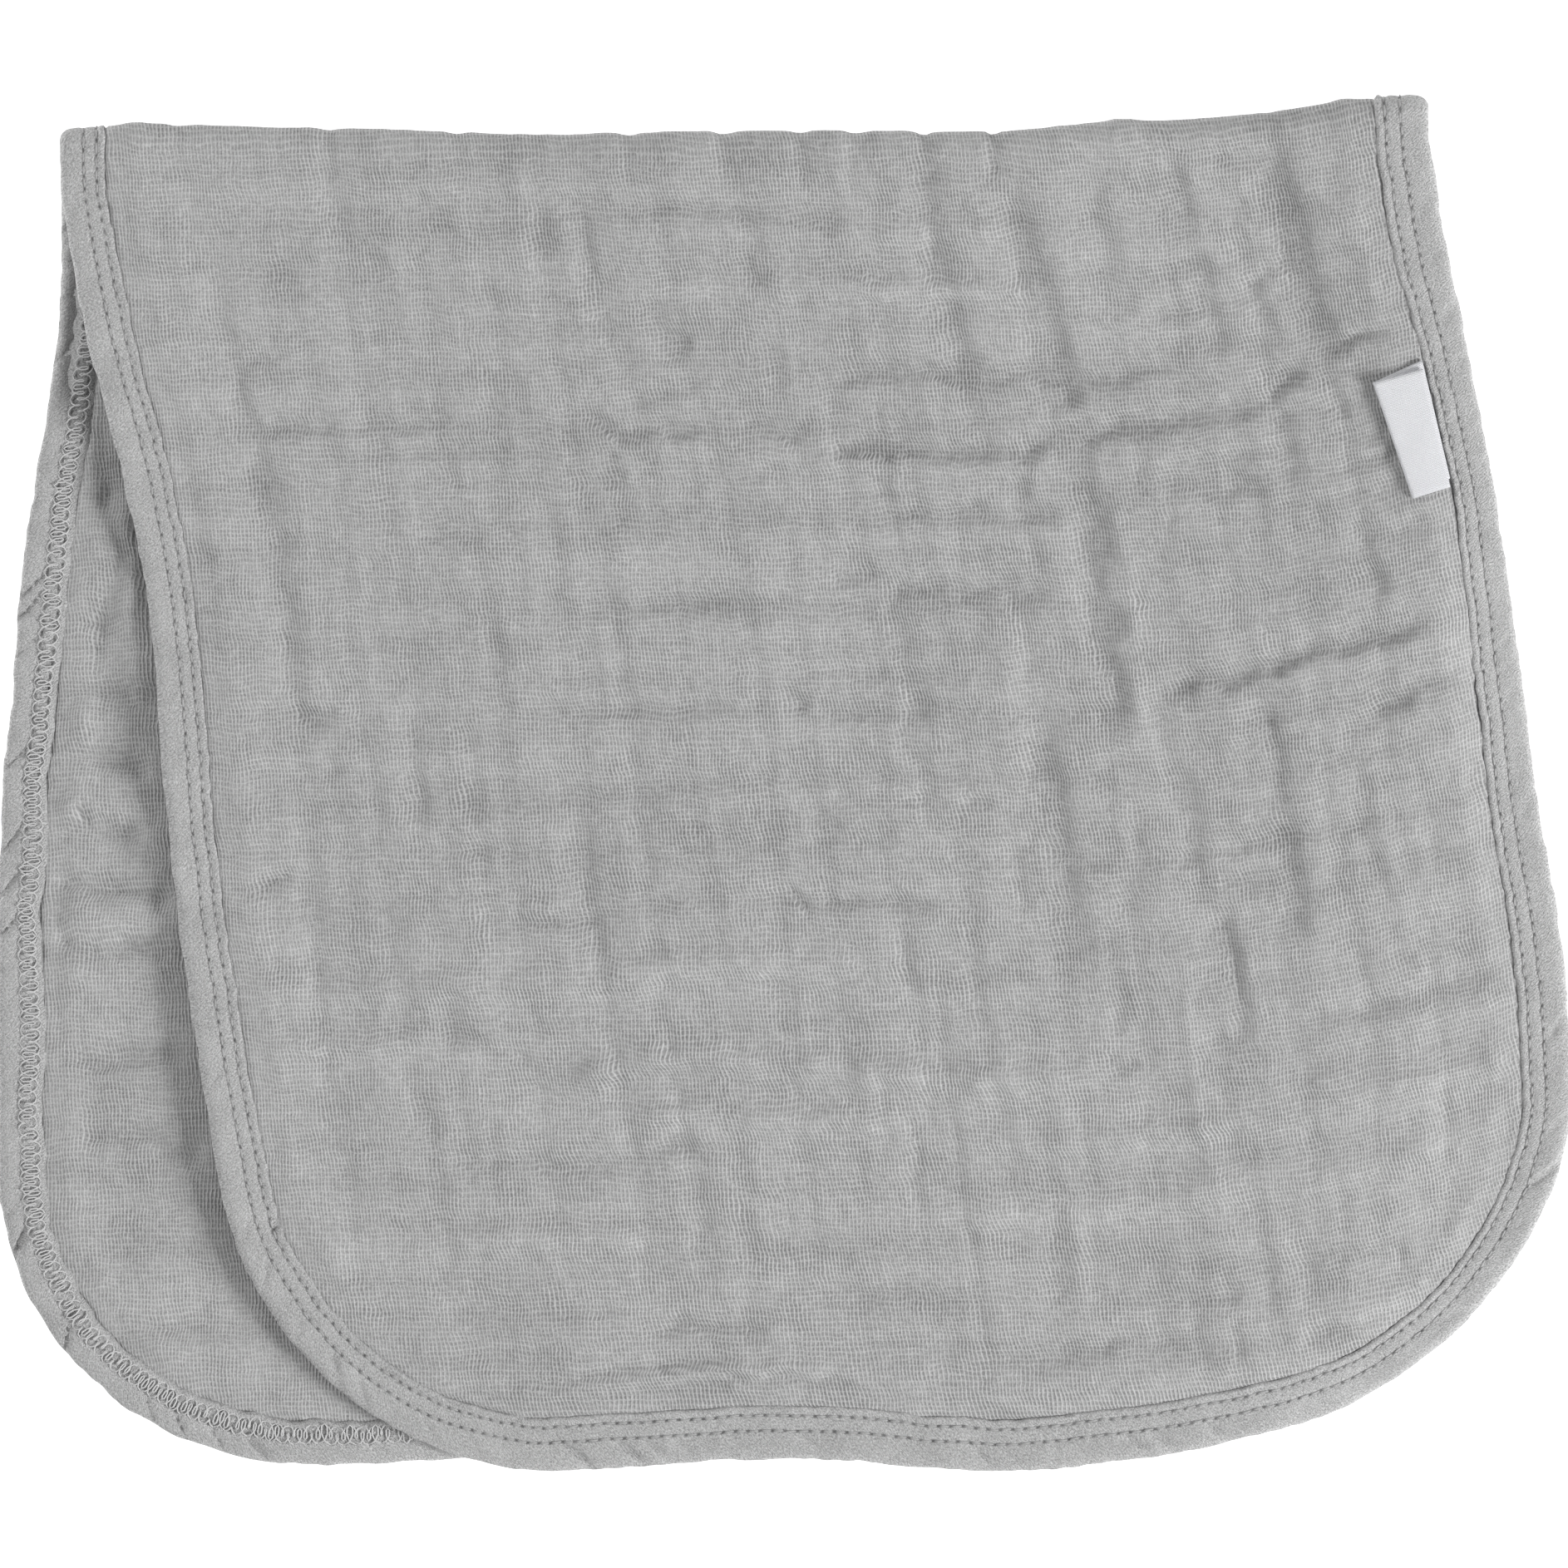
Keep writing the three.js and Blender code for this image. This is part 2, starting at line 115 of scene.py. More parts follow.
# Creases in plan, across ones from left to right and down ones from the top. Below 0 it is a valley and
# above 0 a ridge. Bright and dark are the widths of its flanks towards the light and away from it: the
# bright one is above or left of a valley, and below or right of a ridge.
Crease = namedtuple("Crease", "height bright dark path")
CREASES = [
    # Down the left part, from the fold to the first deep valley across
    Crease(-0.5, 1.8, 1.2, [(-119, 90), (-117, 76), (-113, 67), (-109.5, 51), (-105.5, 32), (-104.6, 23)]),
    Crease(-0.45, 3.0, 1.3, [(-107, 90), (-104, 83), (-100.5, 73), (-98.5, 65)]),
    Crease(-0.3, 2.0, 1.5, [(-110, 86), (-107, 79), (-106, 73)]),
    Crease(-0.6, 1.5, 4.2, [(-99, 61), (-97, 53), (-94, 45), (-92.5, 42)]),
    Crease(-0.45, 1.5, 2.6, [(-94.5, 39), (-93, 33), (-91.5, 27), (-91.5, 20), (-89, 13), (-84, 11.5)]),
    Crease(-0.4, 3.0, 2.0, [(-74, 94), (-72.5, 88), (-71, 80), (-69.5, 67)]),
    Crease(-0.3, 2.0, 1.3, [(-79, 101), (-76, 98), (-73, 95)]),
    Crease(-0.35, 2.0, 1.3, [(-69, 110), (-65, 106), (-62, 103)]),
    Crease(-0.4, 2.4, 1.8, [(-46, 109), (-44, 100), (-42, 96), (-41, 88), (-38, 82), (-37, 76)]),
    Crease(-0.65, 3.0, 1.1, [(-39.5, 109), (-37, 104), (-35, 94), (-34, 88), (-30.5, 79)]),
    Crease(-0.35, 2.0, 1.5, [(-55, 79), (-53.5, 67), (-52.5, 62), (-53, 57), (-51, 54)]),
    Crease(-0.25, 2.0, 1.5, [(-81.5, 60), (-80.5, 52), (-80, 45)]),
    Crease(-0.3, 2.0, 1.6, [(-77, 44), (-75.5, 37), (-77, 30)]),
    Crease(-0.3, 2.0, 1.6, [(-50, 50), (-49, 44), (-49, 30)]),
    Crease(-0.3, 2.0, 1.5, [(-37, 43), (-36, 37), (-35, 30)]),
    Crease(-0.5, 2.2, 1.7, [(-32.5, 64), (-31, 56), (-29.5, 50), (-28.5, 45)]),
    Crease(-0.7, 2.5, 1.2, [(-25, 90), (-22.5, 85), (-21, 82.3), (-17.5, 80)]),
    Crease(-0.3, 2.0, 1.4, [(-18, 61), (-16.5, 56), (-16.5, 50)]),
    Crease(-0.3, 2.0, 1.2, [(-8.5, 106), (-6, 103), (-5.5, 98)]),
    Crease(-0.6, 2.0, 1.0, [(-9, 98.5), (-6, 95.5), (-4.5, 93.5), (-3.3, 91)]),
    Crease(-0.55, 2.2, 2.0, [(-2.5, 84), (-1.5, 77), (-1, 71), (0, 66), (2.5, 62.5)]),
    # Down the middle and the right part
    Crease(-0.3, 1.5, 0.9, [(12, 93), (12.5, 86), (13.5, 80), (14.3, 75)]),
    Crease(-0.4, 1.6, 0.9, [(17, 76), (18.5, 64), (19, 56), (20.5, 48), (22.5, 36)]),
    Crease(-0.35, 2.0, 2.0, [(9.5, 74), (10.5, 68), (12.5, 64)]),
    Crease(-0.65, 2.2, 2.8, [(27, 119), (26.5, 109), (28, 98), (30, 88), (33, 79), (35, 72), (36, 64)]),
    Crease(-1.0, 3.0, 2.4, [
        (40.5, 111), (44, 102), (46, 94), (49.5, 88), (50.5, 79), (52.8, 73), (54.5, 64),
    ]),
    Crease(-1.1, 2.6, 2.6, [(54, 66), (56.5, 54), (57.5, 46), (57.5, 39), (59, 29), (60.7, 20), (61.5, 8)]),
    Crease(0.45, 1.6, 1.6, [(62.5, 53), (61.5, 45), (63.8, 37), (64.5, 28), (65, 18), (66.5, 7)]),
    Crease(-0.5, 2.4, 1.5, [(43.3, 59), (44, 52), (45.5, 47), (48, 37)]),
    Crease(-0.3, 1.8, 1.3, [(30, 53), (33, 49), (36, 44), (38, 39)]),
    Crease(-0.65, 1.5, 2.4, [
        (18.5, 37), (20, 30), (21.5, 25), (24, 14), (22.5, 9), (24.5, 3), (26, -2), (26, -10),
    ]),
    Crease(0.55, 2.8, 3.0, [(38, 34), (40.5, 25), (41.5, 12), (42, -1)]),
    Crease(-0.3, 1.8, 1.5, [(45, 34), (44.5, 28), (46, 21)]),
    Crease(-1.0, 3.4, 2.2, [(50.5, 15), (48.8, 5), (51, -6), (52.3, -15), (54, -26), (57, -36)]),
    Crease(-0.5, 2.0, 1.5, [(59, -26), (60.5, -31), (62.3, -41), (62, -49)]),
    Crease(-0.55, 1.6, 1.6, [(59.5, -49.5), (62.3, -53), (65, -51)]),
    Crease(-0.5, 3.0, 2.0, [(57, 114), (58.5, 104), (61, 94), (64, 84.5)]),
    Crease(-0.85, 3.0, 1.6, [(72, 119), (74, 107), (76.5, 96), (79, 87), (81, 76.5)]),
    Crease(-1.1, 3.4, 2.6, [(89, 122), (91.5, 110), (94, 101), (97, 93), (99, 86), (101, 77)]),
    Crease(-0.45, 1.2, 1.6, [(88, 90), (90.3, 84), (92.5, 80)]),
    Crease(-0.3, 1.8, 1.4, [(83, 109), (84.5, 103), (87.5, 97)]),
    Crease(-0.4, 2.0, 1.6, [(92.3, 71), (93.5, 64), (96.3, 55)]),
    Crease(-0.4, 1.8, 1.6, [(101, 78), (102, 70), (104, 64), (106.5, 58)]),
    Crease(-0.4, 1.5, 4.0, [(81.5, 64), (82.5, 59), (84, 53)]),
    Crease(-0.35, 1.8, 1.4, [(66, 67), (67, 60), (64, 53), (65, 48)]),
    Crease(-0.35, 2.0, 1.5, [(71, 61), (71.5, 54), (71, 48), (72, 40)]),
    Crease(-0.3, 2.0, 1.8, [(98, 54), (99, 45), (99, 35)]),
    Crease(-0.5, 2.4, 1.6, [(106, 50), (108, 43), (110.5, 35)]),
    Crease(-1.0, 3.0, 2.2, [(88.3, 22), (89.3, 13), (91.5, 4), (92, -5), (94, -15), (95.3, -29)]),
    Crease(-0.5, 2.2, 2.0, [(70, 16), (70.3, 8), (74, -2), (75.3, -12), (77, -21)]),
    Crease(-0.5, 2.4, 1.8, [(104.3, 9), (106.5, 0), (107.5, -9), (111, -19), (114, -29), (116, -39)]),
    Crease(-0.3, 1.8, 1.5, [(118.5, -4), (120, -10), (122.3, -15)]),
    Crease(-0.85, 2.2, 1.8, [(81, -21), (82.3, -30), (84, -38), (85.7, -49)]),
    Crease(0.4, 1.0, 1.0, [(73, -30), (74.3, -40), (75.5, -52), (77, -62), (79, -71), (80.5, -80)]),
    Crease(-0.45, 1.8, 1.8, [(65, -4), (65.3, -14), (64, -25)]),
    Crease(-0.45, 1.8, 1.4, [(41.5, -10), (44, -15), (44, -24)]),
    Crease(-0.35, 1.6, 2.2, [(21.5, -28), (23, -35), (24.5, -39)]),
    Crease(-0.38, 1.5, 1.1, [
        (29, -27), (29, -42), (30, -54), (31, -65), (33, -78), (36, -92), (37.2, -104), (39, -116),
    ]),
    Crease(-0.4, 1.6, 1.5, [(23.5, -61), (25, -69), (24, -75), (27, -81)]),
    Crease(-0.35, 1.6, 1.2, [(16, -51), (18.5, -57), (17.5, -62), (19.3, -69)]),
    Crease(-0.3, 1.8, 1.8, [(51.5, -74), (51, -84), (50.5, -98)]),
    Crease(-0.45, 2.4, 1.8, [(92, -73), (94, -80), (97, -88), (98.5, -101)]),
    Crease(-0.4, 1.5, 1.2, [(81, -89), (82, -94), (84, -98)]),
    Crease(-0.45, 1.5, 1.2, [(76, -96), (76, -101), (79, -110)]),
    Crease(-0.5, 1.3, 1.0, [(82.5, -99), (84, -104), (85.5, -110)]),
    Crease(-0.4, 1.6, 1.4, [(114, -85), (115.5, -91), (115, -98)]),
    # Down the lower left part
    Crease(-0.45, 2.0, 2.0, [(-75.5, 30), (-74.5, 24), (-73, 15)]),
    Crease(-0.5, 2.0, 1.7, [(-69, 12), (-69, 5), (-68, -1), (-68, -9)]),
    Crease(-0.4, 1.8, 1.5, [(-55, 29), (-53.3, 24), (-52, 21)]),
    Crease(-0.45, 2.4, 1.6, [(-37.5, 29), (-35.5, 22), (-34, 13)]),
    Crease(-0.5, 2.2, 1.8, [(-59, 14), (-58, 3), (-56.5, -10), (-54.5, -22), (-52.5, -34)]),
    Crease(-0.5, 1.8, 1.6, [(-38.5, -2), (-38, -14), (-36, -23), (-34.5, -34)]),
    Crease(-0.35, 1.6, 1.4, [(-89.5, -8), (-88.5, -18), (-88, -30), (-87, -43)]),
    Crease(-0.35, 1.8, 1.6, [(-85, 7), (-84.3, -1), (-83.7, -7)]),
    Crease(-0.3, 1.5, 1.0, [(-76.5, 0), (-75, -7)]),
    Crease(-0.4, 1.8, 1.4, [(-67, -49), (-65.5, -56), (-66.5, -61), (-64.5, -67), (-63, -71)]),
    Crease(-0.3, 1.6, 1.3, [(-54, -60), (-54, -77)]),
    Crease(-0.3, 1.6, 1.4, [(-13.5, -77), (-15, -83), (-12.5, -91)]),
    Crease(-0.35, 2.5, 3.5, [(-77, -95), (-73, -101), (-71, -108)]),
    Crease(-0.5, 1.6, 1.6, [(-90, -89), (-84, -98), (-77, -107), (-69, -114), (-57, -114)]),
    Crease(-0.5, 1.2, 1.0, [(-3.5, -35), (-1, -39.5)]),
    # Over the fold
    Crease(-0.7, 1.2, 1.0, [(37.5, 128), (38, 119), (39, 112)]),
    Crease(-0.6, 2.0, 1.5, [(-29.5, 126), (-29, 117), (-27.5, 110)]),
    Crease(-0.5, 1.6, 1.3, [(-11.5, 125), (-11, 116), (-9, 109)]),
    Crease(-0.5, 1.6, 1.2, [(2.5, 125), (3, 115), (4, 110)]),
    Crease(-0.5, 1.8, 1.3, [(13, 125), (13, 115), (14.5, 108)]),
    Crease(-0.6, 1.8, 1.4, [(25.5, 127), (26, 118), (26.5, 110)]),
    Crease(-0.5, 2.4, 1.8, [(-86, 126), (-84.5, 116), (-82, 106), (-81, 98)]),
    Crease(-0.4, 2.2, 1.8, [(-113, 126), (-112, 116), (-110, 104), (-109, 95)]),
    Crease(-0.45, 2.2, 1.6, [(-62, 125), (-61, 116), (-59, 106)]),
    Crease(0.5, 1.6, 1.8, [(62, 128), (62.5, 119), (64, 110)]),
    # Across the part by the fold
    Crease(-0.4, 2.2, 1.2, [(-31, 106.7), (-19, 106.3), (-8, 105.5), (2, 104.4), (8, 104.6), (15, 102.6)]),
    Crease(0.4, 1.2, 2.4, [(15, 101.8), (24, 101.3), (31, 102), (40, 102)]),
    Crease(0.5, 1.3, 2.8, [(0, 94), (7, 93.3), (14, 91.6), (25, 91.5), (36, 92), (48, 91.3)]),
    Crease(-0.3, 1.8, 1.2, [(66, 86.5), (72, 87.3), (80, 89), (90, 92)]),
    Crease(-0.4, 1.5, 1.3, [(85.5, 91.5), (88, 93.5), (90.5, 97)]),
    Crease(-0.35, 1.8, 1.3, [(78, 117), (83, 114.6), (88, 117)]),
    Crease(-0.6, 2.2, 1.3, [
        (6, 76.3), (10, 75), (20, 76), (31, 75.6), (37, 74.4), (46, 75.8), (53, 74.5), (62, 75.4), (78, 79),
    ]),
    Crease(-0.3, 1.5, 1.2, [(-103, 65), (-94, 65.7), (-84, 66), (-70, 66.6), (-57, 66)]),
    Crease(-0.3, 1.5, 1.3, [(-101, 79), (-97, 78.6), (-92, 79)]),
    Crease(-0.25, 1.5, 1.5, [(-105, 95.5), (-97, 95.3), (-91, 96)]),
    Crease(-0.55, 1.8, 1.3, [(-38.5, 71), (-35.5, 67), (-32, 65), (-25, 65), (-15, 66)]),
    Crease(-0.4, 1.5, 1.4, [(-29, 68.5), (-26, 71), (-21, 73.7), (-15, 74)]),
    Crease(-0.4, 1.8, 1.3, [(-9, 66.2), (-4, 66), (0, 64), (3.5, 62.5)]),
    Crease(-0.85, 2.4, 1.4, [(8.5, 64), (13, 62), (20, 62.2), (27, 61), (36, 61.2), (44, 61), (51, 65)]),
    Crease(-0.9, 2.4, 1.2, [(52, 62.5), (60, 65), (69, 66.6), (80, 68.5), (90, 71), (93, 74), (98, 78)]),
    Crease(-0.55, 1.2, 1.0, [(100, 80.5), (104, 82), (112, 84.3)]),
    Crease(-0.25, 1.5, 1.3, [(-41, 56), (-35, 56), (-30, 57.3)]),
    Crease(-0.3, 1.5, 1.4, [(-69, 47.3), (-63, 46), (-56, 46)]),
    Crease(-0.45, 1.8, 1.3, [(19, 50.3), (27, 50), (38, 50), (45, 49.3), (52, 51)]),
    Crease(-0.3, 1.6, 1.3, [(70, 55.3), (80, 54.3), (91, 54.6)]),
    Crease(-0.25, 1.8, 1.4, [(107, 46), (115, 47), (122, 49)]),
    # Across the middle
    Crease(-0.45, 1.8, 1.8, [(9, 39.4), (14, 38.3), (18, 39.2)]),
    Crease(-0.65, 2.2, 1.4, [
        (17, 36.6), (21, 35.3), (27, 36.2), (34, 35.4), (39, 36.8), (46, 34.6), (51, 36),
    ]),
    Crease(-0.35, 1.8, 1.6, [(-65, 31), (-55, 30.6), (-47, 31), (-33, 31.7), (-20, 33), (-6, 34)]),
    Crease(-0.85, 2.2, 1.3, [
        (69.5, 14), (72, 17.6), (80, 18.8), (88.5, 20.6), (96, 23.8), (106, 26), (121, 29.5),
    ]),
    Crease(-0.65, 2.0, 1.5, [(103.5, 7), (107, 11.5), (112, 14.6), (118, 18.3), (127, 21)]),
    Crease(-0.4, 2.0, 2.2, [(-98, 14), (-90, 13.3), (-82, 11.6)]),
    Crease(-0.3, 1.8, 1.8, [(-49, 13.5), (-36, 14), (-25, 14), (-8, 14.7)]),
    Crease(-0.55, 1.5, 1.1, [(0, 19), (1.6, 16.5), (4, 13.5)]),
    Crease(-0.4, 1.6, 1.3, [(5, 13.4), (12, 12.9), (26, 13.2)]),
    Crease(-0.4, 1.6, 1.3, [(1, 1), (5, -2.5), (8, -6.5), (9.5, -11)]),
    Crease(-0.35, 1.6, 1.3, [(7, -3), (14, -3), (28, -2.6)]),
    Crease(-0.45, 1.5, 1.1, [(33, -1.5), (36, -3.3), (39, -4.4)]),
    Crease(-0.35, 2.4, 2.2, [(-64, -4.6), (-47, -3), (-38, -2.6), (-25, -2), (-8, 1)]),
    Crease(-0.35, 1.5, 1.2, [(53, -13.8), (57, -15), (61, -15.6)]),
    Crease(0.4, 1.6, 1.5, [(68, -16), (72, -16.4), (77, -17.5)]),
    Crease(-0.3, 1.6, 1.4, [(79, -17.6), (86, -18.2), (93, -18)]),
    Crease(-0.6, 1.6, 1.5, [(-105, -19.6), (-98, -19.3), (-89.5, -17.8)]),
    Crease(-0.65, 1.4, 1.0, [(0.5, -18), (2.7, -21), (5.6, -23.6)]),
    Crease(-0.4, 1.5, 1.2, [(5, -22.4), (12, -22), (21, -22.5), (30, -22)]),
    Crease(-0.4, 1.8, 1.4, [(-55, -26), (-46, -26), (-36, -25), (-29, -23), (-18, -22)]),
    Crease(0.5, 2.6, 2.8, [(-30, -35), (-20, -34), (-10, -33.4), (2, -33.6), (15, -33)]),
    Crease(0.55, 2.2, 3.0, [
        (-102, -37.5), (-92, -38), (-84, -38.7), (-68, -38), (-50, -37.6), (-36, -37.3), (-20, -35.5),
    ]),
    # Across the lower part
    Crease(-0.42, 2.2, 2.0, [
        (94, -43), (103, -42.7), (111, -40.6), (117, -39.6), (126, -36), (136, -32.5),
    ]),
    Crease(0.4, 1.5, 1.6, [(-98, -48.7), (-86, -49), (-75, -48.6), (-65, -47)]),
    Crease(-0.5, 1.6, 1.6, [(-64, -45), (-58, -48), (-51, -49.8), (-46, -51)]),
    Crease(0.85, 2.6, 3.0, [
        (-46, -53.5), (-38, -54.5), (-31, -52.7), (-22, -51), (-8, -51.5), (3, -52), (14, -53.5),
    ]),
    Crease(0.9, 2.8, 3.2, [(8, -53), (20, -54), (31, -54.7), (41, -55), (50, -54.8), (58, -52.6)]),
    Crease(-0.4, 1.6, 1.5, [(78, -46.5), (84, -49), (90, -50)]),
    Crease(0.65, 2.5, 3.2, [(94, -58), (104, -56.8), (112, -56), (120, -54.3), (128, -52.3), (138, -50.3)]),
    Crease(0.6, 2.4, 2.4, [(-34, -63), (-25, -61.5), (-15, -61.4), (-3, -62.2), (10, -62.4), (23, -63.3)]),
    Crease(0.6, 2.4, 2.8, [
        (22, -63.5), (31, -65), (42, -66.5), (52, -66.7), (64, -65.3), (78, -63.5), (91, -61.8),
    ]),
    Crease(0.5, 2.6, 2.4, [(90, -75), (100, -73), (108, -70.6), (116, -68.5), (125, -65), (135, -61)]),
    Crease(-0.5, 2.0, 1.4, [(-63, -70), (-50, -70), (-38, -71.2), (-30, -70), (-22, -68), (-10, -66.8)]),
    Crease(0.5, 2.0, 3.0, [
        (24, -80), (36, -80.3), (47, -80), (57, -79.2), (66, -78), (74, -77), (81, -75), (91, -74.4),
    ]),
    Crease(0.55, 2.6, 3.0, [
        (-93, -86), (-82, -86.6), (-72, -88), (-62, -86), (-49, -85), (-37, -85), (-24, -83),
    ]),
    Crease(-0.3, 1.8, 1.5, [(58, -88.6), (72, -88), (91, -89)]),
    Crease(-0.4, 2.0, 1.2, [
        (-9, -95.3), (0, -94.5), (8, -93.6), (14.5, -95), (21, -94.2), (29, -95.7), (38, -95.4),
    ]),
    Crease(-0.35, 2.0, 2.4, [(-64, -98.5), (-50, -96.6), (-40, -97.3), (-27, -96.5)]),
    Crease(-0.45, 1.5, 1.2, [(-26, -102.5), (-17, -100.6), (-8, -101), (-3.5, -103.6)]),
    Crease(-0.45, 1.8, 1.5, [(37, -106), (50, -106.6), (60, -104.6), (68, -103), (77, -104)]),
    Crease(-0.45, 1.6, 1.5, [(95, -103), (103, -101.3), (113, -98.6)]),
    Crease(-0.35, 1.2, 0.9, [
        (-63, -112.5), (-50, -111.4), (-40, -111), (-30, -109), (-20, -107.6), (-8, -107),
    ]),
    Crease(0.45, 1.1, 1.2, [(-38, -112), (-24, -109.8), (-10, -108.7), (4, -109), (14, -110.2)]),
    Crease(-0.5, 1.3, 1.2, [
        (-42, -116.3), (-30, -114.5), (-20, -112.6), (-10, -111), (0, -110.6), (10, -111), (17, -113),
    ]),
]

# Creases of the strip of the lower half that shows at the left, in plan, with the swells by the upper
# half's edge first
STRIP_CREASES = [
    Crease(0.7, 3.5, 3.5, [(-125.5, 52), (-123, 40), (-120.5, 28), (-119.5, 14)]),
    Crease(0.35, 3.0, 3.0, [(-118.5, -8), (-117, -16), (-115.5, -22)]),
    Crease(-1.3, 2.5, 2.0, [(-128, 73), (-126.3, 63), (-126, 55), (-127, 50)]),
    Crease(-0.6, 2.2, 1.7, [(-120.5, 50), (-119.5, 43), (-119, 37)]),
    Crease(-0.8, 2.0, 1.6, [
        (-127, 51), (-124.7, 47), (-122.8, 40), (-126, 32.4), (-127.4, 25), (-127.9, 19.5),
    ]),
    Crease(0.5, 1.5, 1.8, [(-124, 51), (-121, 46), (-120, 40), (-122.5, 33), (-124, 25)]),
    Crease(-0.6, 2.2, 1.4, [(-137, 5), (-130, 5.2), (-124, 4), (-117, 1)]),
    Crease(0.35, 1.2, 1.5, [(-137, -5), (-130, -4.4), (-120, -6)]),
    Crease(-0.45, 1.5, 1.8, [(-136, -8), (-130, -8), (-118, -10)]),
    Crease(-0.9, 1.2, 0.9, [(-130.6, -3.5), (-129.4, -5.6), (-128, -7.6)]),
    Crease(-0.9, 2.2, 1.3, [(-138, -18.6), (-130, -18.7), (-125, -19.8), (-119, -20.8), (-112, -23)]),
    Crease(0.6, 3.5, 3.5, [(-136, -24), (-125, -25.5), (-115, -26.5), (-104, -27)]),
    Crease(-0.9, 1.4, 1.2, [(-136.3, -24), (-135.4, -27), (-132, -30)]),
    Crease(-0.5, 2.0, 1.5, [(-134, -30), (-126, -30.6), (-113, -30.5)]),
    Crease(-0.5, 1.6, 1.2, [(-136, -40), (-135.5, -43), (-134, -48)]),
    Crease(-0.45, 1.8, 1.3, [(-133, -50), (-128, -51.3), (-121, -51), (-110, -50)]),
    Crease(-0.3, 1.8, 1.6, [(-128.3, -55), (-127.5, -59), (-128, -63)]),
    Crease(-0.6, 2.2, 1.6, [(-131, -66), (-124, -65.5), (-117, -66), (-113, -68.2), (-106, -69.5)]),
    Crease(-0.35, 2.2, 1.6, [(-134, 18), (-127, 17.6), (-120, 16)]),
    Crease(-0.35, 2.0, 1.5, [(-132, 30), (-127, 29.5), (-122, 29)]),
    Crease(-0.3, 2.2, 1.6, [(-130, -86), (-118, -86), (-106, -88)]),
    Crease(-0.3, 2.2, 1.6, [(-122, -101), (-110, -101), (-98, -103)]),
]

# Where the plies are tied: shares of the width along the warp, and heights in plan across it
WARP_TIES = [
    0.1, 0.155, 0.19, 0.25, 0.305, 0.345, 0.385, 0.44, 0.475, 0.53, 0.58, 0.64, 0.69, 0.75, 0.8, 0.85, 0.9,
]
WEFT_TIES = [106, 94, 79, 66, 56, 49, 33, 14, 1, -12, -22, -105]

# The gauze's weave: pitch of its warp and weft, and how far the threads lean and rise over the upper half.
# On the lower half they lean alike.
WARP_PITCH = 0.655
WEFT_PITCH = 0.92
LEAN = {"left": 0.09, "right": 0.17, "start": -100, "end": 120, "lower": 0.03}
WEFT_RISE = {"start": 60, "curve": 0.0022}

# Loft of the face's plies between creases, step of the plies' ties, depth of a crease of height 1 and how
# much more of it the strip's have, how much painted shade darkens a hollow of 1, and the way in plan towards
# the light
LOFT = 0.7
TIE_STEP = 13.5
CREASE_DEPTH = 1.5
STRIP_DEPTH = 1.1
PAINTED_CREASE_SHADE = 0.1
LIGHT_WAY = (0.9, -0.43)

# Points across the cloth on its face, and on its reverse over the share that shows and the share that doesn't
FACE_COLUMNS = 250
STRIP_COLUMNS = 38
PLAIN_COLUMNS = 26
STRIP_SHARE = 0.36

# The sewn edge: its width by flat distance from the fold, on the upper half and below 0 on the lower one,
# and the share of it that is rolled round the edge
LEFT_WIDTH = [(-20, 8.8), (0, 8.6), (150, 8.7), (190, 9.0), (225, 10.3), (254, 10.3)]
RIGHT_WIDTH = [
    (-20, 9.0), (0, 10.1), (25, 10.6), (42, 9.7), (60, 8.5), (85, 8.5), (120, 9.3), (190, 9.5), (235, 10.2),
]
ROLL_SHARE = 0.22

# The seam: stitches all round, its rows on the face and its loops on the reverse by their shares of the
# tape's width, and the threads' radii
STITCHES = 607
ROW_SHARES = (0.54, 0.82)
LOOP_SHARES = (0.47, 0.89)
ROW_RADIUS = 0.15
LOOP_RADIUS = 0.16

# Places by their run round the outline from the fold's left end: the tape's lapped end, a join in it, the
# kink at the lower left and where its drag wrinkles are strongest. Counted in stitches, on the reverse:
# where the loops stop covering the holes, and where a dent starts, is deep, starts to rise and ends; over
# that dent a painted shadow of the upper half darkens the tape's colour.
LAP_RUN = 12.5
JOIN_RUN = 43
KINK_RUN = 208.5
DRAG_RUN = 335
LOOPS_END = 555
DENT_AND_PAINTED_SHADOW_STITCHES = (582, 588, 593, 599)

# The label's corners in plan, seam at the tape and fold free, its size, plies, height over the cloth and how
# far its rear ply is set off
LABEL_CORNERS = {
    "seam_top": (117.9, 76.8), "seam_bottom": (123.1, 54.9), "fold_top": (108.7, 74.2),
    "fold_bottom": (116.1, 52.7),
}
LABEL = {"length": 8.2, "width": 22.5, "ply": 0.4, "air": 0.5, "above": 0.8, "lift": 1.0, "rear_skew": 1.6}

# The photograph's frame: its middle and width at the height where most of the upper half lies, the lens
# and the sensor's width
VIEW_MIDDLE = (-0.23, -0.08)
VIEW_WIDTH = 290.4
VIEW_HEIGHT = 6
VIEW_LENS = 400
SENSOR = 36

# The studio: each light's name, place in metres, size and power, the world's strength, half the floor's
# side and how far it lies under the cloth, and how many metres the camera sees
LIGHTS = [("key", (1.5, -0.6, 0.95), 0.65, 32), ("fill", (-1.3, 0.45, 0.75), 0.7, 10.5)]
WORLD_STRENGTH = 0.3
FLOOR_HALF = 6000
FLOOR_DROP = 0.05
FAR = 100


def rise(value, start, end):
    """A smooth step: 0 up to start, 1 from end on, and share squared times (3 less twice share) between."""
    share = np.clip((value - start) / (end - start), 0, 1)
    return share * share * (3 - 2 * share)


def mix(first, second, share):
    """First plus share of the way to second."""
    return first + (second - first) * share


def bell(off, width):
    """1 at 0, falling off on both sides as e to the power of less the square of off over width."""
    return np.exp(-(off / width) ** 2)


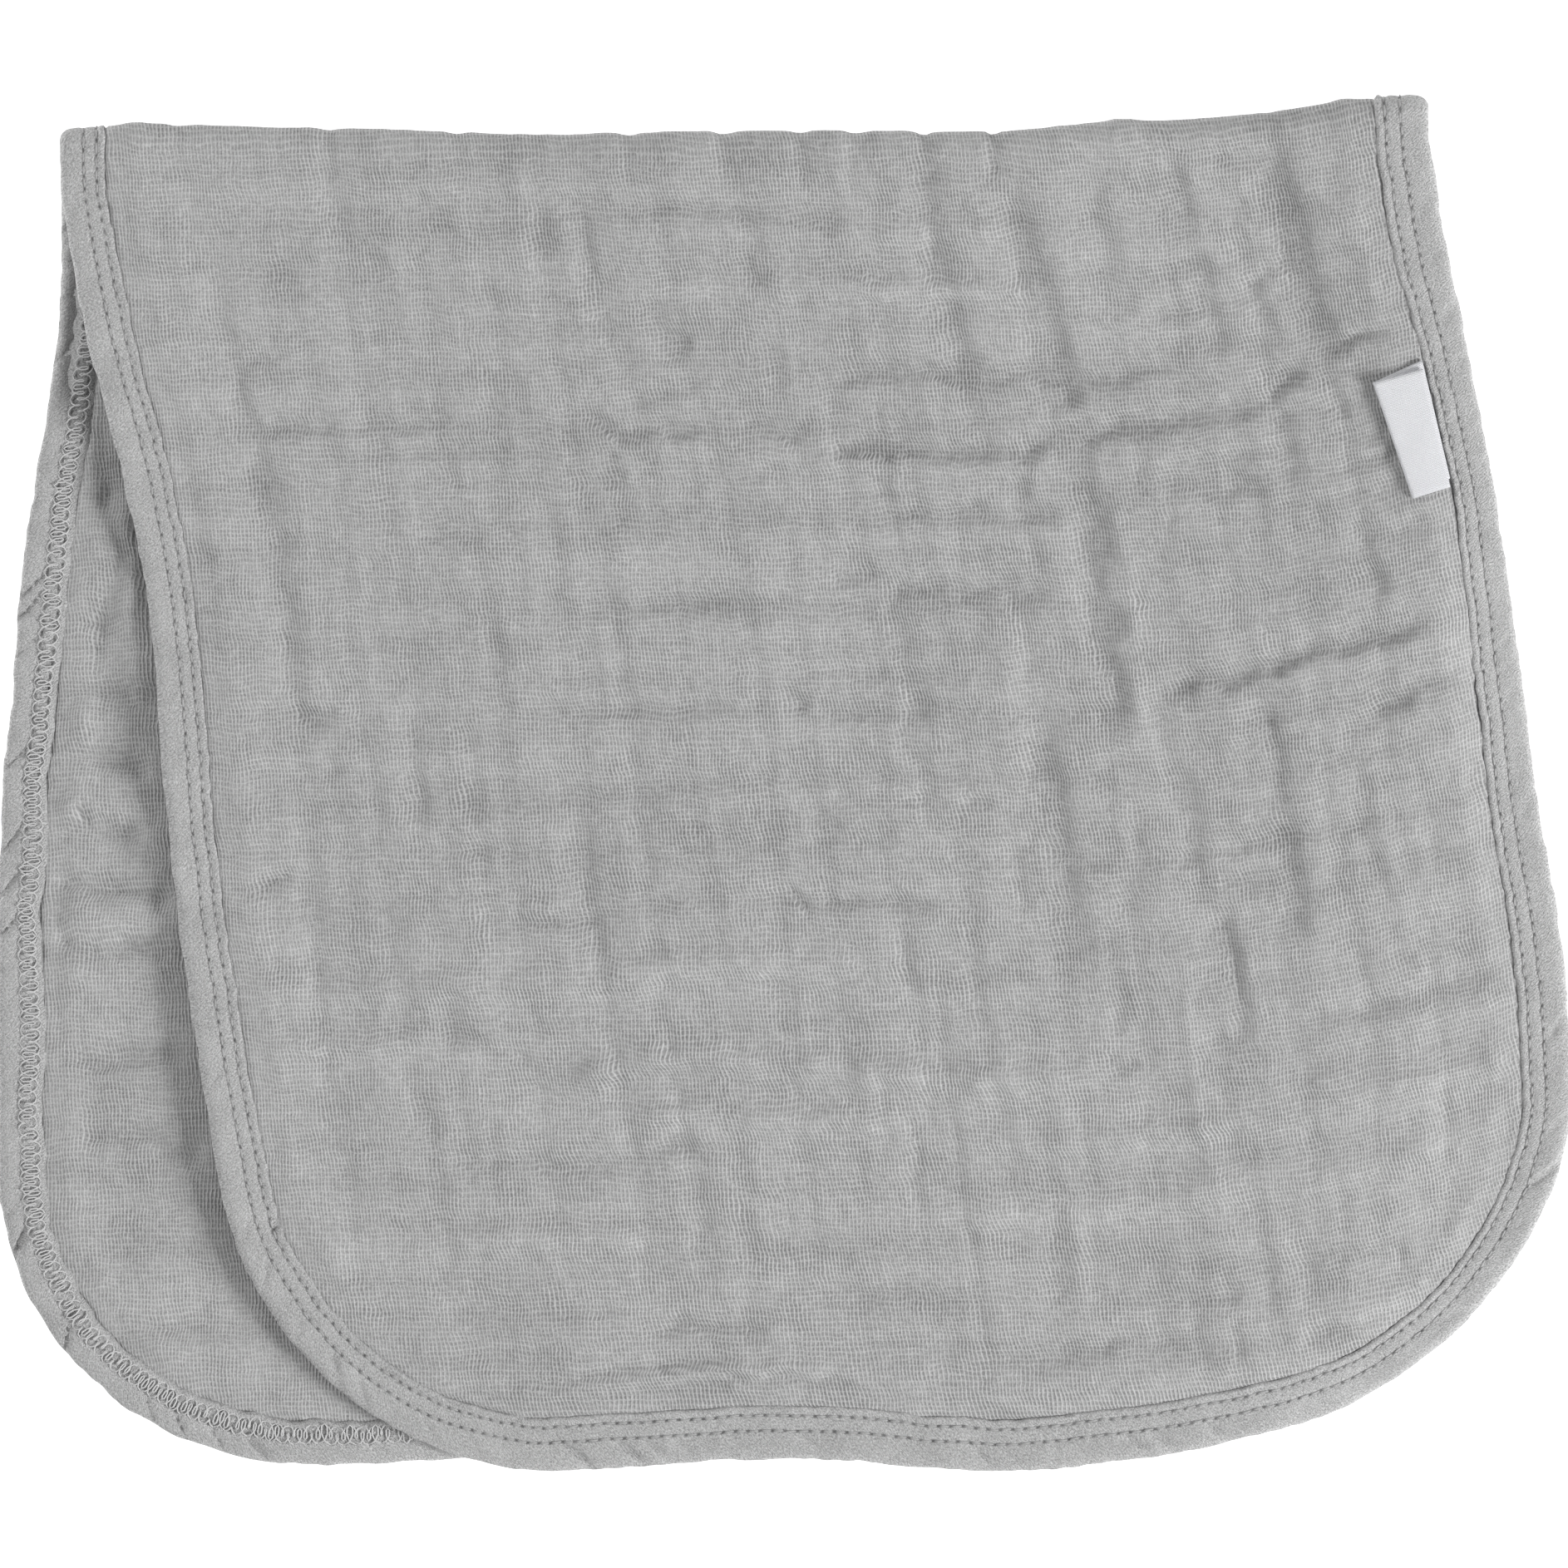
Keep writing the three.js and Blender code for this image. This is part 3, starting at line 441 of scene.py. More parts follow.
def plan_curve(points):
    """A Catmull-Rom curve through points, as a function of the share of its length.

    Each stretch is the cubic with half the difference of the neighbours as its slope at either end.
    """
    given = np.array(points, float)
    near = np.vstack([given[:1], given, given[-1:]])
    share = np.linspace(0, 1, 40, endpoint=False)[None, :, None]
    before, start, end, after = (near[i:len(near) - 3 + i, None] for i in range(4))
    slope_in = (end - before) / 2
    slope_out = (after - start) / 2
    line = (
        (2 * start - 2 * end + slope_in + slope_out) * share ** 3
        + (3 * end - 3 * start - 2 * slope_in - slope_out) * share ** 2
        + slope_in * share
        + start
    ).reshape(-1, 2)
    line = np.vstack([line, given[-1:]])
    run = np.concatenate([[0], np.cumsum(np.hypot(*np.diff(line, axis=0).T))])

    def at(share_of_length):
        place = np.clip(share_of_length, 0, 1) * run[-1]
        return np.stack([np.interp(place, run, line[:, 0]), np.interp(place, run, line[:, 1])], axis=-1)

    at.length = run[-1]
    return at


fold_line = plan_curve(FOLD_LINE)
front_half = {name: plan_curve(points) for name, points in FRONT_HALF.items()}
back_half = {name: plan_curve(points) for name, points in BACK_HALF.items()}


def plan_point(half, across, along):
    """A point of one half in plan: sides blended across, plus fold and end blended along, less corners."""
    u = across[..., None]
    v = along[..., None]
    sides = mix(half["left"](along), half["right"](along), u)
    ends = mix(fold_line(across), half["end"](across), v)
    corners = mix(
        mix(fold_line(0.0), fold_line(1.0), u), mix(half["end"](0.0), half["end"](1.0), u), v
    )
    return sides + ends - corners


def plan_of(x, y):
    """Plan of a flat place, from the half that it is on."""
    across = x / CLOTH_WIDTH + 0.5
    along = np.maximum(0, np.abs(y) - QUARTER_TURN) / (HALF_LENGTH - QUARTER_TURN)
    upper = np.asarray(y > 0)[..., None]
    return np.where(upper, plan_point(front_half, across, along), plan_point(back_half, across, along))


def inset_of(x, y):
    """How far a flat place lies inside the rounded rectangle."""
    dx = np.abs(x) - (HALF_WIDTH - CORNER_RADIUS)
    dy = np.abs(y) - (HALF_LENGTH - CORNER_RADIUS)
    round_part = np.hypot(np.maximum(dx, 0), np.maximum(dy, 0))
    return CORNER_RADIUS - np.where((dx > 0) & (dy > 0), round_part, np.maximum(dx, dy))


def resting_half(inset):
    """Half the thickness of all that lies there: the bound edge's, going over to the soft middle's."""
    return mix(BINDING_HALF, CLOTH_THICK / 2, rise(inset, BINDING_WIDTH + 1, BINDING_WIDTH + 18))


def corner_point(side_x, side_y, angle, inset):
    """A point of a rounded corner, inset from the outline, by its angle up from the side."""
    reach = CORNER_RADIUS - inset
    return (
        side_x * (HALF_WIDTH - CORNER_RADIUS + reach * np.cos(angle)),
        side_y * (HALF_LENGTH - CORNER_RADIUS + reach * np.sin(angle)),
    )


def lower_edge():
    """The lower half's outline in plan, from its right side round its end to its left.

    It is run on past the fold at both sides.
    """
    side = HALF_LENGTH - CORNER_RADIUS
    turn = np.linspace(0, np.pi / 2, 13)
    run_y = -mix(QUARTER_TURN, side, np.arange(12) / 12)
    corner_x, corner_y = corner_point(1, -1, turn, 0)
    x = np.concatenate([np.full(12, HALF_WIDTH), corner_x])
    y = np.concatenate([run_y, corner_y])
    edge = plan_of(np.concatenate([x, -x[::-1]]), np.concatenate([y, y[::-1]]))
    beyond = np.array([0, HALF_LENGTH])
    return np.vstack([edge[:1] + beyond, edge, edge[-1:] + beyond])


LOWER_EDGE = lower_edge()


def inside_lower(plan):
    """How far a point in plan lies inside the lower half's outline, below 0 outside it."""
    px, py = plan[..., 0], plan[..., 1]
    nearest = np.full(px.shape, np.inf)
    inside = np.zeros(px.shape, bool)
    for start, end in zip(LOWER_EDGE, np.roll(LOWER_EDGE, -1, axis=0)):
        way = end - start
        share = np.clip(((px - start[0]) * way[0] + (py - start[1]) * way[1]) / (way @ way), 0, 1)
        nearest = np.minimum(
            nearest, np.hypot(px - start[0] - share * way[0], py - start[1] - share * way[1])
        )
        crosses = (start[1] > py) != (end[1] > py)
        height = way[1] if way[1] else 1
        inside ^= crosses & (px < start[0] + way[0] * (py - start[1]) / height)
    return np.where(inside, nearest, -nearest)


def fold_axis(x):
    """Height of the axis that the fold's half circle turns about."""
    return FOLD_RADIUS + resting_half(inset_of(x, 0 * x))


def height_of(x, y, plan):
    """Height of the sheet's middle.

    The lower half lies on the surface. The upper half rests on it, sags where both are thin, droops to
    the surface past the lower edge and curls up at its left side. Both settle from the fold's height.
    """
    inset = inset_of(x, y)
    resting = resting_half(inset)
    axis = fold_axis(x)
    settle = rise(np.abs(y) - QUARTER_TURN, 0, FOLD_SETTLES_OVER)
    inside = inside_lower(plan)
    edge_top = 2 * BINDING_HALF
    support = edge_top * rise(inside, -DROOP_REACH, -2)
    support -= (edge_top - PRESSED_TOP) * rise(inside, BINDING_WIDTH + 2, BINDING_WIDTH + 24)
    air = LAYER_AIR * rise(inside, -DROOP_REACH, -DROOP_REACH / 4)
    lift = np.interp(y, *np.transpose(EDGE_LIFT))
    curl = lift * np.exp(-(x + HALF_WIDTH) / CURL_REACH) * rise(inside, 0, 12)
    upper = mix(axis + FOLD_RADIUS, support + air + resting + curl, settle)
    lower = mix(axis - FOLD_RADIUS, resting, settle)
    return np.where(y < 0, lower, upper)


def middle(x, y):
    """The sheet's middle in space: a half circle about the fold's axis, and either half beyond it."""
    plan = plan_of(x, y)
    on_fold = np.abs(y) < QUARTER_TURN
    turn = y / FOLD_RADIUS
    plan_y = plan[..., 1] + np.where(on_fold, FOLD_RADIUS * np.cos(turn), 0)
    z = np.where(on_fold, fold_axis(x) + FOLD_RADIUS * np.sin(turn), height_of(x, y, plan))
    return np.stack([plan[..., 0], plan_y, z], axis=-1)


def face_normal(x, y):
    """The way out of the face side: the slope along crossed with the slope across, brought to length 1."""
    step = 0.05
    across = middle(x + step, y) - middle(x - step, y)
    along = middle(x, y + step) - middle(x, y - step)
    normal = np.cross(along, across)
    return normal / np.linalg.norm(normal, axis=-1, keepdims=True)


def sheet_point(x, y, height):
    """A point of the sheet: a flat place, and height above its middle towards the face side."""
    x, y, height = np.broadcast_arrays(*(np.asarray(v, float) for v in (x, y, height)))
    return middle(x, y) + face_normal(x, y) * height[..., None]


def swell(x, y, size, seed):
    """Soft unevenness from about -1 to 1: nine plane waves of about that wavelength, added up."""
    draw = np.random.default_rng(seed)
    total = 0
    for _ in range(9):
        angle = draw.uniform(0, 2 * np.pi)
        turns = 2 * np.pi / (size * draw.uniform(0.75, 1.4))
        phase = draw.uniform(0, 2 * np.pi)
        total = total + np.sin(turns * (x * np.cos(angle) + y * np.sin(angle)) + phase)
    return total / 4


def ripple(along, size, seed):
    """A swell that varies along one way only."""
    return swell(along, 0 * along, size, seed)


def add_crease(relief, x, y, crease, seed):
    """Adds one crease to the relief over points in plan.

    Its section is a bell with a flank of its own width on either side. It fades at both ends, its height
    varies along it, and one that lies across is deeper than one down the cloth.
    """
    curve = plan_curve(crease.path)
    line = curve(np.linspace(0, 1, max(3, int(curve.length / 3))))
    # Past 2.2 widths of the flank the bell is under a hundredth
    reach = 2.2 * max(crease.bright, crease.dark)
    low, high = line.min(0) - reach, line.max(0) + reach
    near = (x > low[0]) & (x < high[0]) & (y > low[1]) & (y < high[1])
    if not near.any():
        return
    point = np.stack([x[near], y[near]], axis=-1)[:, None]
    start, way = line[None, :-1], np.diff(line, axis=0)[None]
    share = np.clip(((point - start) * way).sum(-1) / (way * way).sum(-1), 0, 1)
    off = point - start - share[..., None] * way
    distance = np.hypot(off[..., 0], off[..., 1])
    best = distance.argmin(axis=1)
    row = np.arange(len(best))
    nearest = off[row, best]
    along = (best + share[row, best]) / way.shape[1]
    towards_light = nearest @ np.array(LIGHT_WAY)
    on_bright = towards_light * crease.height > 0
    flank = np.where(on_bright, crease.bright, crease.dark)
    section = bell(distance[row, best], flank)
    ends = rise(along, -0.02, 0.16) * rise(1 - along, -0.02, 0.16)
    uneven = 1 + 0.35 * ripple(along * curve.length, 13, seed)
    reach_x, reach_y = np.abs(line[-1] - line[0])
    lying = 0.78 + 0.6 * reach_x / (reach_x + reach_y)
    relief[near] += CREASE_DEPTH * lying * crease.height * section * uneven * ends


def thread_lean(x):
    """How far the warp threads lean to the right for each millimetre down."""
    return mix(LEAN["left"], LEAN["right"], rise(x, LEAN["start"], LEAN["end"]))


def weft_bow(x):
    """How far the weft threads have risen at x: the square of the way past their start, times a curve."""
    return WEFT_RISE["curve"] * np.maximum(0, x - WEFT_RISE["start"]) ** 2


def weft_slope(x):
    """How steeply the weft threads rise to the right."""
    return 2 * WEFT_RISE["curve"] * np.maximum(0, x - WEFT_RISE["start"])


def small_creases(count, seed):
    """Short faint creases along the threads, set on a loose net of ties, stronger up and to the right."""
    draw = np.random.default_rng(seed)
    rows = []
    for _ in range(count):
        across = draw.random() < 0.42
        x = draw.uniform(-114, 138)
        y = draw.uniform(-116, 113)
        strength = 0.55 + 0.45 * rise(x + 0.5 * y, -80, 90)
        if across:
            slope = weft_slope(x) + draw.normal(0, 0.06)
            y = TIE_STEP * (np.round(2 * y / TIE_STEP) / 2 + draw.normal(0, 0.08))
            half = draw.uniform(6, 26)
            path = [(x - half, y - slope * half), (x, y + draw.normal(0, 0.4)), (x + half, y + slope * half)]
        else:
            lean = thread_lean(x) + draw.normal(0, 0.06)
            x = TIE_STEP * (np.round(2 * x / TIE_STEP) / 2 + draw.normal(0, 0.1))
            half = draw.uniform(6, 22)
            path = [(x - lean * half, y + half), (x + draw.normal(0, 0.4), y), (x + lean * half, y - half)]
        sign = -1 if draw.random() < 0.7 else 1
        height = sign * strength * draw.uniform(0.06, 0.24)
        rows.append(Crease(height, draw.uniform(1, 2), draw.uniform(0.9, 1.4), path))
    return rows


def tie_lines(seed):
    """Long faint valleys where the plies are tied: along the warp at shares of the width, and across."""
    draw = np.random.default_rng(seed)
    rows = []
    for share in WARP_TIES:
        along = np.linspace(-0.03, 0.93, 8)
        path = plan_point(front_half, share + draw.normal(0, 0.004, along.size), along)
        rows.append(Crease(-draw.uniform(0.18, 0.34), 2.1, 1.3, path.tolist()))
    for y in WEFT_TIES:
        x = np.linspace(-118, 138, 9)
        path = np.stack([x, y + weft_bow(x) + draw.normal(0, 0.7, x.size)], -1)
        rows.append(Crease(-draw.uniform(0.1, 0.2), 1.7, 1.1, path.tolist()))
    return rows


def drift(x, y, seed):
    """How far creases stray from their lines at points in plan."""
    return 0.7 * swell(x, y, 9, seed) + 0.3 * swell(x, y, 4, seed + 20)


def puffs(x, y):
    """Soft puffs between the plies' ties: the root of two sines' product, on a drifting net."""
    across = x - thread_lean(x) * (120 - y) + 2.6 * swell(x, y, 60, 15) + 0.8 * swell(x, y, 17, 16)
    along = y - weft_bow(x) + 2.6 * swell(x, y, 60, 17) + 0.8 * swell(x, y, 17, 18)
    product = np.abs(np.sin(np.pi * across / TIE_STEP) * np.sin(np.pi * along / TIE_STEP))
    return (product + 0.02) ** 0.5 * (0.7 + 0.5 * swell(x, y, 33, 19))


def crease_relief(x, y, rows, drift_seed, first_seed):
    """Relief of many creases over points in plan, strayed from their lines."""
    relief = 0 * x
    near_x, near_y = x + drift(x, y, drift_seed), y + drift(x, y, drift_seed + 1)
    for number, crease in enumerate(rows):
        add_crease(relief, near_x, near_y, crease, first_seed + number)
    return relief


def upper_relief(x, y):
    """Relief of the upper half's face over points in plan: puffs, swells and creases, and creases alone."""
    creases = crease_relief(x, y, CREASES + tie_lines(12) + small_creases(220, 11), 51, 100)
    creases = creases * mix(0.9, 0.95, rise(x, -40, 60))
    fine = 0.05 * swell(x, y, 5, 53) + 0.04 * swell(x, y, 3, 54)
    return LOFT - 0.1 + 0.28 * puffs(x, y) + 0.22 * swell(x, y * 1.25, 46, 3) + fine + creases, creases


def strip_relief(x, y):
    """Relief of the lower half's reverse side over points in plan, and its creases alone."""
    creases = STRIP_DEPTH * crease_relief(x, y, STRIP_CREASES, 55, 700)
    return 0.8 * LOFT + 0.3 * swell(x, y * 1.3, 34, 5) + 0.07 * swell(x, y, 11, 6) + creases, creases


def binding_width(x, y):
    """The tape's width at a flat place, by the flat length from the fold on either side, with a wobble."""
    right = np.interp(y, *np.transpose(RIGHT_WIDTH))
    left = np.interp(y, *np.transpose(LEFT_WIDTH))
    below = rise(-y, 20, 60)
    wobble = (0.22 + 0.24 * below) * swell(x, y, 21, 8) + (0.12 + 0.22 * below) * swell(x, y, 7, 14)
    pucker = 0.13 * swell(x, y, 3.4, 29)
    return mix(left, right, rise(x, -60, 60)) + wobble + pucker


def edge_roll(inset, width, x, y):
    """The gauze beside the tape: a narrow trough along it and a soft roll past that, uneven along."""
    past = inset - width
    roll = 0.25 * bell(past - 4.4, 2.4) * (1 + 0.8 * swell(x, y, 12, 9))
    trough = 0.25 * bell(past - 8.5, 3.5) * (1 + 0.6 * swell(x, y, 18, 10))
    return (roll - trough) * rise(past, 0, 2)


def cloth_half(inset, width):
    """Half the cloth's thickness: pressed inside the tape, full beside it and soft in the middle."""
    past = inset - width
    beside = mix(EDGE_THICK / 2, 1.45, rise(past, -0.4, 0.3))
    return mix(beside, CLOTH_THICK / 2, rise(past, 4, 16))


def face_height(x, y):
    """Height of the face side over the sheet's middle at a flat place, and its creases alone."""
    inset = inset_of(x, y)
    width = binding_width(x, y)
    plan = plan_of(x, y)
    shown = rise(inset, width + 0.2, width + 7) * rise(y, -0.6 * QUARTER_TURN, 0.4 * QUARTER_TURN)
    relief, creases = upper_relief(plan[..., 0], plan[..., 1])
    relief = relief + edge_roll(inset, width, x, y)
    half = cloth_half(inset, width)
    return half + np.maximum(relief, -0.7 * half) * shown, creases * shown


def reverse_height(x, y):
    """Height of the reverse side under the sheet's middle, with relief where it shows, and its creases."""
    inset = inset_of(x, y)
    width = binding_width(x, y)
    plan = plan_of(x, y)
    half = cloth_half(inset, width)
    shown = rise(inset, width + 0.5, width + 5) * rise(-y, 26, 60) * rise(-x, 70, 86)
    relief, creases = strip_relief(plan[..., 0], plan[..., 1])
    relief = relief + edge_roll(inset, width, x, y)
    return half + np.maximum(relief, -0.85 * half) * shown, creases * shown


def make_piece(name, points, faces, finish, patterns=()):
    """A smooth mesh piece at the origin from points in millimetres and lists of faces' corner numbers.

    patterns holds name and two-column values for each UV map, one row for each point.
    """
    mesh = bpy.data.meshes.new(name)
    mesh.from_pydata((np.asarray(points) * MM).tolist(), [], [row for part in faces for row in part.tolist()])
    mesh.shade_smooth()
    corner_points = np.empty(len(mesh.loops), np.int32)
    mesh.loops.foreach_get("vertex_index", corner_points)
    for pattern, values in patterns:
        layer = mesh.uv_layers.new(name=pattern)
        layer.data.foreach_set("uv", np.asarray(values, np.float32)[corner_points].ravel())
    mesh.materials.append(finish)
    piece = bpy.data.objects.new(name, mesh)
    bpy.context.scene.collection.objects.link(piece)
    return piece


def grid_faces(rows, columns, first=0, closed_rows=False, closed_columns=False):
    """Four-cornered faces of a grid of points, row by row, joined round where it is closed."""
    r = np.arange(rows if closed_rows else rows - 1)[:, None]
    c = np.arange(columns if closed_columns else columns - 1)[None, :]
    next_r = (r + 1) % rows
    next_c = (c + 1) % columns
    corners = [r * columns + c, next_r * columns + c, next_r * columns + next_c, r * columns + next_c]
    return first + np.stack([np.broadcast_to(k, (r.size, c.size)) for k in corners], -1).reshape(-1, 4)


def zip_faces(first, second, flat):
    """Triangles between two runs of points, stepping on along whichever is behind by its share of length."""
    share = []
    for run in (first, second):
        length = np.cumsum(np.hypot(*np.diff(flat[run], axis=0).T))
        share.append(length / length[-1])
    on_first = np.concatenate([np.ones(len(first) - 1, bool), np.zeros(len(second) - 1, bool)])
    on_first = on_first[np.argsort(np.concatenate(share), kind="stable")]
    i = np.cumsum(on_first)
    j = np.cumsum(~on_first)
    stepped_first = np.stack([first[i - on_first], first[i], second[j]], -1)
    stepped_second = np.stack([first[i], second[j], second[j - ~on_first]], -1)
    return np.where(on_first[:, None], stepped_first, stepped_second)


def cloth_rows(back, fold, front, corner):
    """Flat y and half width of each row, from the lower end round the fold to the upper end.

    back, fold and front are the rows of each straight part, and corner those of the lower and upper corners.
    """
    side = HALF_LENGTH - CORNER_RADIUS
    back_turn = np.linspace(np.pi / 2, 0, corner[0], endpoint=False)
    front_turn = np.linspace(0, np.pi / 2, corner[1])
    back_x, back_y = corner_point(1, -1, back_turn, EDGE_SETBACK)
    front_x, front_y = corner_point(1, 1, front_turn, EDGE_SETBACK)
    straight = np.concatenate([
        np.linspace(-side, -QUARTER_TURN, back, endpoint=False),
        np.linspace(-QUARTER_TURN, QUARTER_TURN, fold, endpoint=False),
        np.linspace(QUARTER_TURN, side, front, endpoint=False),
    ])
    full = np.full(straight.size, HALF_WIDTH - EDGE_SETBACK)
    return np.concatenate([back_y, straight, front_y]), np.concatenate([back_x, full, front_x])


def weave_places(x, y, plan):
    """Where each point is on the weave: across the warp and across the weft, in millimetres.

    It follows the plan, and goes on round the fold by the flat length there.
    """
    px, py = plan[..., 0], plan[..., 1]
    to_fold = py + np.maximum(0, QUARTER_TURN - np.abs(y))
    fold_top = FOLD_LINE[0][1] + QUARTER_TURN
    lean = np.where(y > 0, thread_lean(px), LEAN["lower"])
    along = np.where(y > 0, to_fold - weft_bow(px), 2 * fold_top - to_fold)
    return np.stack([px - lean * (fold_top - to_fold), along], -1)


def cloth_piece(finish):
    """The folded gauze: a fine grid over its face side and one over its reverse side, zipped at the rim."""
    face_rows = cloth_rows(back=20, fold=20, front=196, corner=(4, 57))
    reverse_rows = cloth_rows(back=128, fold=10, front=36, corner=(44, 6))
    face_places = np.linspace(-1, 1, FACE_COLUMNS)
    reverse_places = np.concatenate([
        np.linspace(-1, -1 + STRIP_SHARE, STRIP_COLUMNS, endpoint=False),
        np.linspace(-1 + STRIP_SHARE, 1, PLAIN_COLUMNS),
    ])
    points, weave, hollow, flat, rims, faces = [], [], [], [], [], []
    first = 0
    for (row_y, row_half), places, height_at, sign in (
        (face_rows, face_places, face_height, 1), (reverse_rows, reverse_places, reverse_height, -1),
    ):
        x = places[None, :] * row_half[:, None]
        y = np.broadcast_to(row_y[:, None], x.shape)
        height, creases = height_at(x, y)
        points.append(sheet_point(x, y, sign * height).reshape(-1, 3))
        # The threads stray a little from their lines where the relief rises or sinks
        threads = weave_places(x, y, plan_of(x, y)) + 0.5 * (height - 1)[..., None]
        weave.append(threads.reshape(-1, 2))
        # Crease heights, from which the gauze's colour paints shade in the hollows
        hollow.append(np.stack([creases, 0 * creases], -1).reshape(-1, 2))
        flat.append(np.stack([x, y], -1).reshape(-1, 2))
        number = first + np.arange(x.size).reshape(x.shape)
        rims.append([number[0, :], number[:, -1], number[-1, ::-1], number[::-1, 0]])
        quads = grid_faces(*x.shape, first=first)
        faces.append(quads if sign > 0 else quads[:, ::-1])
        first += x.size
    for face_rim, reverse_rim in zip(*rims):
        faces.append(zip_faces(face_rim, reverse_rim, np.vstack(flat)))
    return make_piece(
        "cloth_gauze", np.vstack(points), faces, finish,
        [("weave", np.vstack(weave)), ("crease", np.vstack(hollow))],
    )


def outline_at(run):
    """Flat place and way in of a point round the outline, by its run from the fold's left end.

    The run goes down the upper half's left side, along its end, up its right side to the fold, and round
    the lower half back to the start: straights and quarter circles in turn.
    """
    side = HALF_LENGTH - CORNER_RADIUS
    end = 2 * (HALF_WIDTH - CORNER_RADIUS)
    arc = CORNER_RADIUS * np.pi / 2
    lengths = [side, arc, end, arc, 2 * side, arc, end, arc, side]
    starts = np.concatenate([[0], np.cumsum(lengths)])
    at = np.mod(run, starts[-1])
    stretch = np.clip(np.searchsorted(starts, at, side="right") - 1, 0, 8)
    past = at - starts[stretch]
    corner_x = HALF_WIDTH - CORNER_RADIUS
    # Each row: start of a straight or middle of an arc (x, y), and its angle or the way of travel
    heading = np.array([90, 90, 0, 0, -90, -90, 180, 180, 90]) * np.pi / 180
    origin = np.array([
        (-HALF_WIDTH, 0), (-corner_x, side), (-corner_x, HALF_LENGTH), (corner_x, side),
        (HALF_WIDTH, side), (corner_x, -side), (corner_x, -HALF_LENGTH), (-corner_x, -side),
        (-HALF_WIDTH, -side),
    ])
    is_arc = stretch % 2 == 1
    way = heading[stretch] - np.where(is_arc, past / CORNER_RADIUS, 0)
    travel = np.stack([np.cos(way), np.sin(way)], -1)
    inwards = np.stack([np.sin(way), -np.cos(way)], -1)
    straight = origin[stretch] + travel * past[..., None]
    curved = origin[stretch] - inwards * CORNER_RADIUS
    return np.where(is_arc[..., None], curved, straight), inwards


OUTLINE_LENGTH = (
    4 * (HALF_LENGTH - CORNER_RADIUS) + 4 * (HALF_WIDTH - CORNER_RADIUS) + 2 * np.pi * CORNER_RADIUS
)
STITCH_PITCH = OUTLINE_LENGTH / STITCHES


def tape_place(run, inset):
    """Flat place at an inset from the outline."""
    place, inwards = outline_at(run)
    return place[..., 0] + inwards[..., 0] * inset, place[..., 1] + inwards[..., 1] * inset


def tape_width(run):
    """The tape's width at a run round the outline."""
    return binding_width(*tape_place(run, 0))


def tape_relief(run, inset, width, side):
    """Relief on one side of the tape: sunk rows, drag wrinkles outside them and a soft uneven surface.

    side is 1 on the face and -1 on the reverse, where the wrinkles slant the other way. The lapped end, the
    join and the kink are on the face, and the knots of the looped threads and the dent on the reverse.
    """
    on_face = side > 0
    relief = 0.07 * swell(run, inset, 4.2, 23) + 0.05 * swell(run, inset, 2.3, 24)
    for row, share in enumerate(ROW_SHARES):
        off_row = inset - share * width
        relief = relief - (0.14 if on_face else 0.05) * bell(off_row, 0.7)
        phase = run / STITCH_PITCH + 0.5 * row
        off_hole = np.abs(phase - np.round(phase)) * STITCH_PITCH
        relief = relief - 0.18 * bell(off_hole, 0.6) * bell(off_row, 0.4)
    scallop = 1 + 0.5 * np.cos(2 * np.pi * (run / STITCH_PITCH + 0.5)) + 0.5 * ripple(run, 4, 28)
    relief = relief + 0.16 * scallop * bell(inset - 0.93 * width, 0.5)
    outside = 1 - rise(inset, 0.34 * width, 0.6 * width)
    drag = np.maximum(0, ripple(run + 1.1 * side * inset, 5.5 if on_face else 4, 21) - 0.35)
    strength = 0.3 + bell(run - DRAG_RUN, 130) if on_face else 1.25
    relief = relief - strength * (1 + 0.25 * ripple(run, 37, 22)) * drag * outside
    if on_face:
        lap = rise(run - LAP_RUN - 0.5 * (inset - 4), -0.3, 0.3) * (1 - rise(run - LAP_RUN, 2, 14))
        join = bell(run - JOIN_RUN + 0.7 * inset, 0.35) * outside
        kink = bell(run - KINK_RUN - 0.8 * (width - inset), 1.1) * bell(inset - width, 2.2)
        return relief + 0.28 * lap - 0.2 * join - 1.1 * kink
    knots = swell(run, inset, 1.5, 25) * rise(inset, 0.4 * width, 0.5 * width)
    stitch = run / STITCH_PITCH
    dent_and_painted_shadow = rise(stitch, *DENT_AND_PAINTED_SHADOW_STITCHES[:2]) * (1 - rise(stitch, *DENT_AND_PAINTED_SHADOW_STITCHES[2:]))
    return relief + 0.12 * knots - 0.9 * dent_and_painted_shadow * rise(inset, 0.1 * width, 0.5 * width)


def tape_section():
    """Places across the tape's section, as a loop: share of width in from the edge, height, and side.

    It runs out over the face, round the outer roll, in under the reverse, and back along the cavity.
    Height is in millimetres from the sheet's middle, and relief counts where it lies on a side.
    """
    face = np.linspace(1, ROLL_SHARE, 20)
    turn = np.linspace(np.pi / 2, -np.pi / 2, 9)[1:-1]
    reverse = np.linspace(ROLL_SHARE, 1, 7)
    cavity = EDGE_THICK / 2 + PIECE_GAP
    cavity_end = (EDGE_SETBACK - 1.5 * PIECE_GAP) / BINDING_WIDTH
    roll = ROLL_SHARE * (1 - np.cos(turn))
    share = np.concatenate([face, roll, reverse, [0.985, cavity_end, cavity_end, 0.985]])
    height = np.concatenate([
        np.full(face.size, BINDING_HALF), BINDING_HALF * np.sin(turn),
        np.full(reverse.size, -BINDING_HALF), [-cavity, -cavity, cavity, cavity],
    ])
    side = np.concatenate([
        np.ones(face.size), np.sin(turn), -np.ones(reverse.size), np.zeros(4),
    ])
    return share, height, side


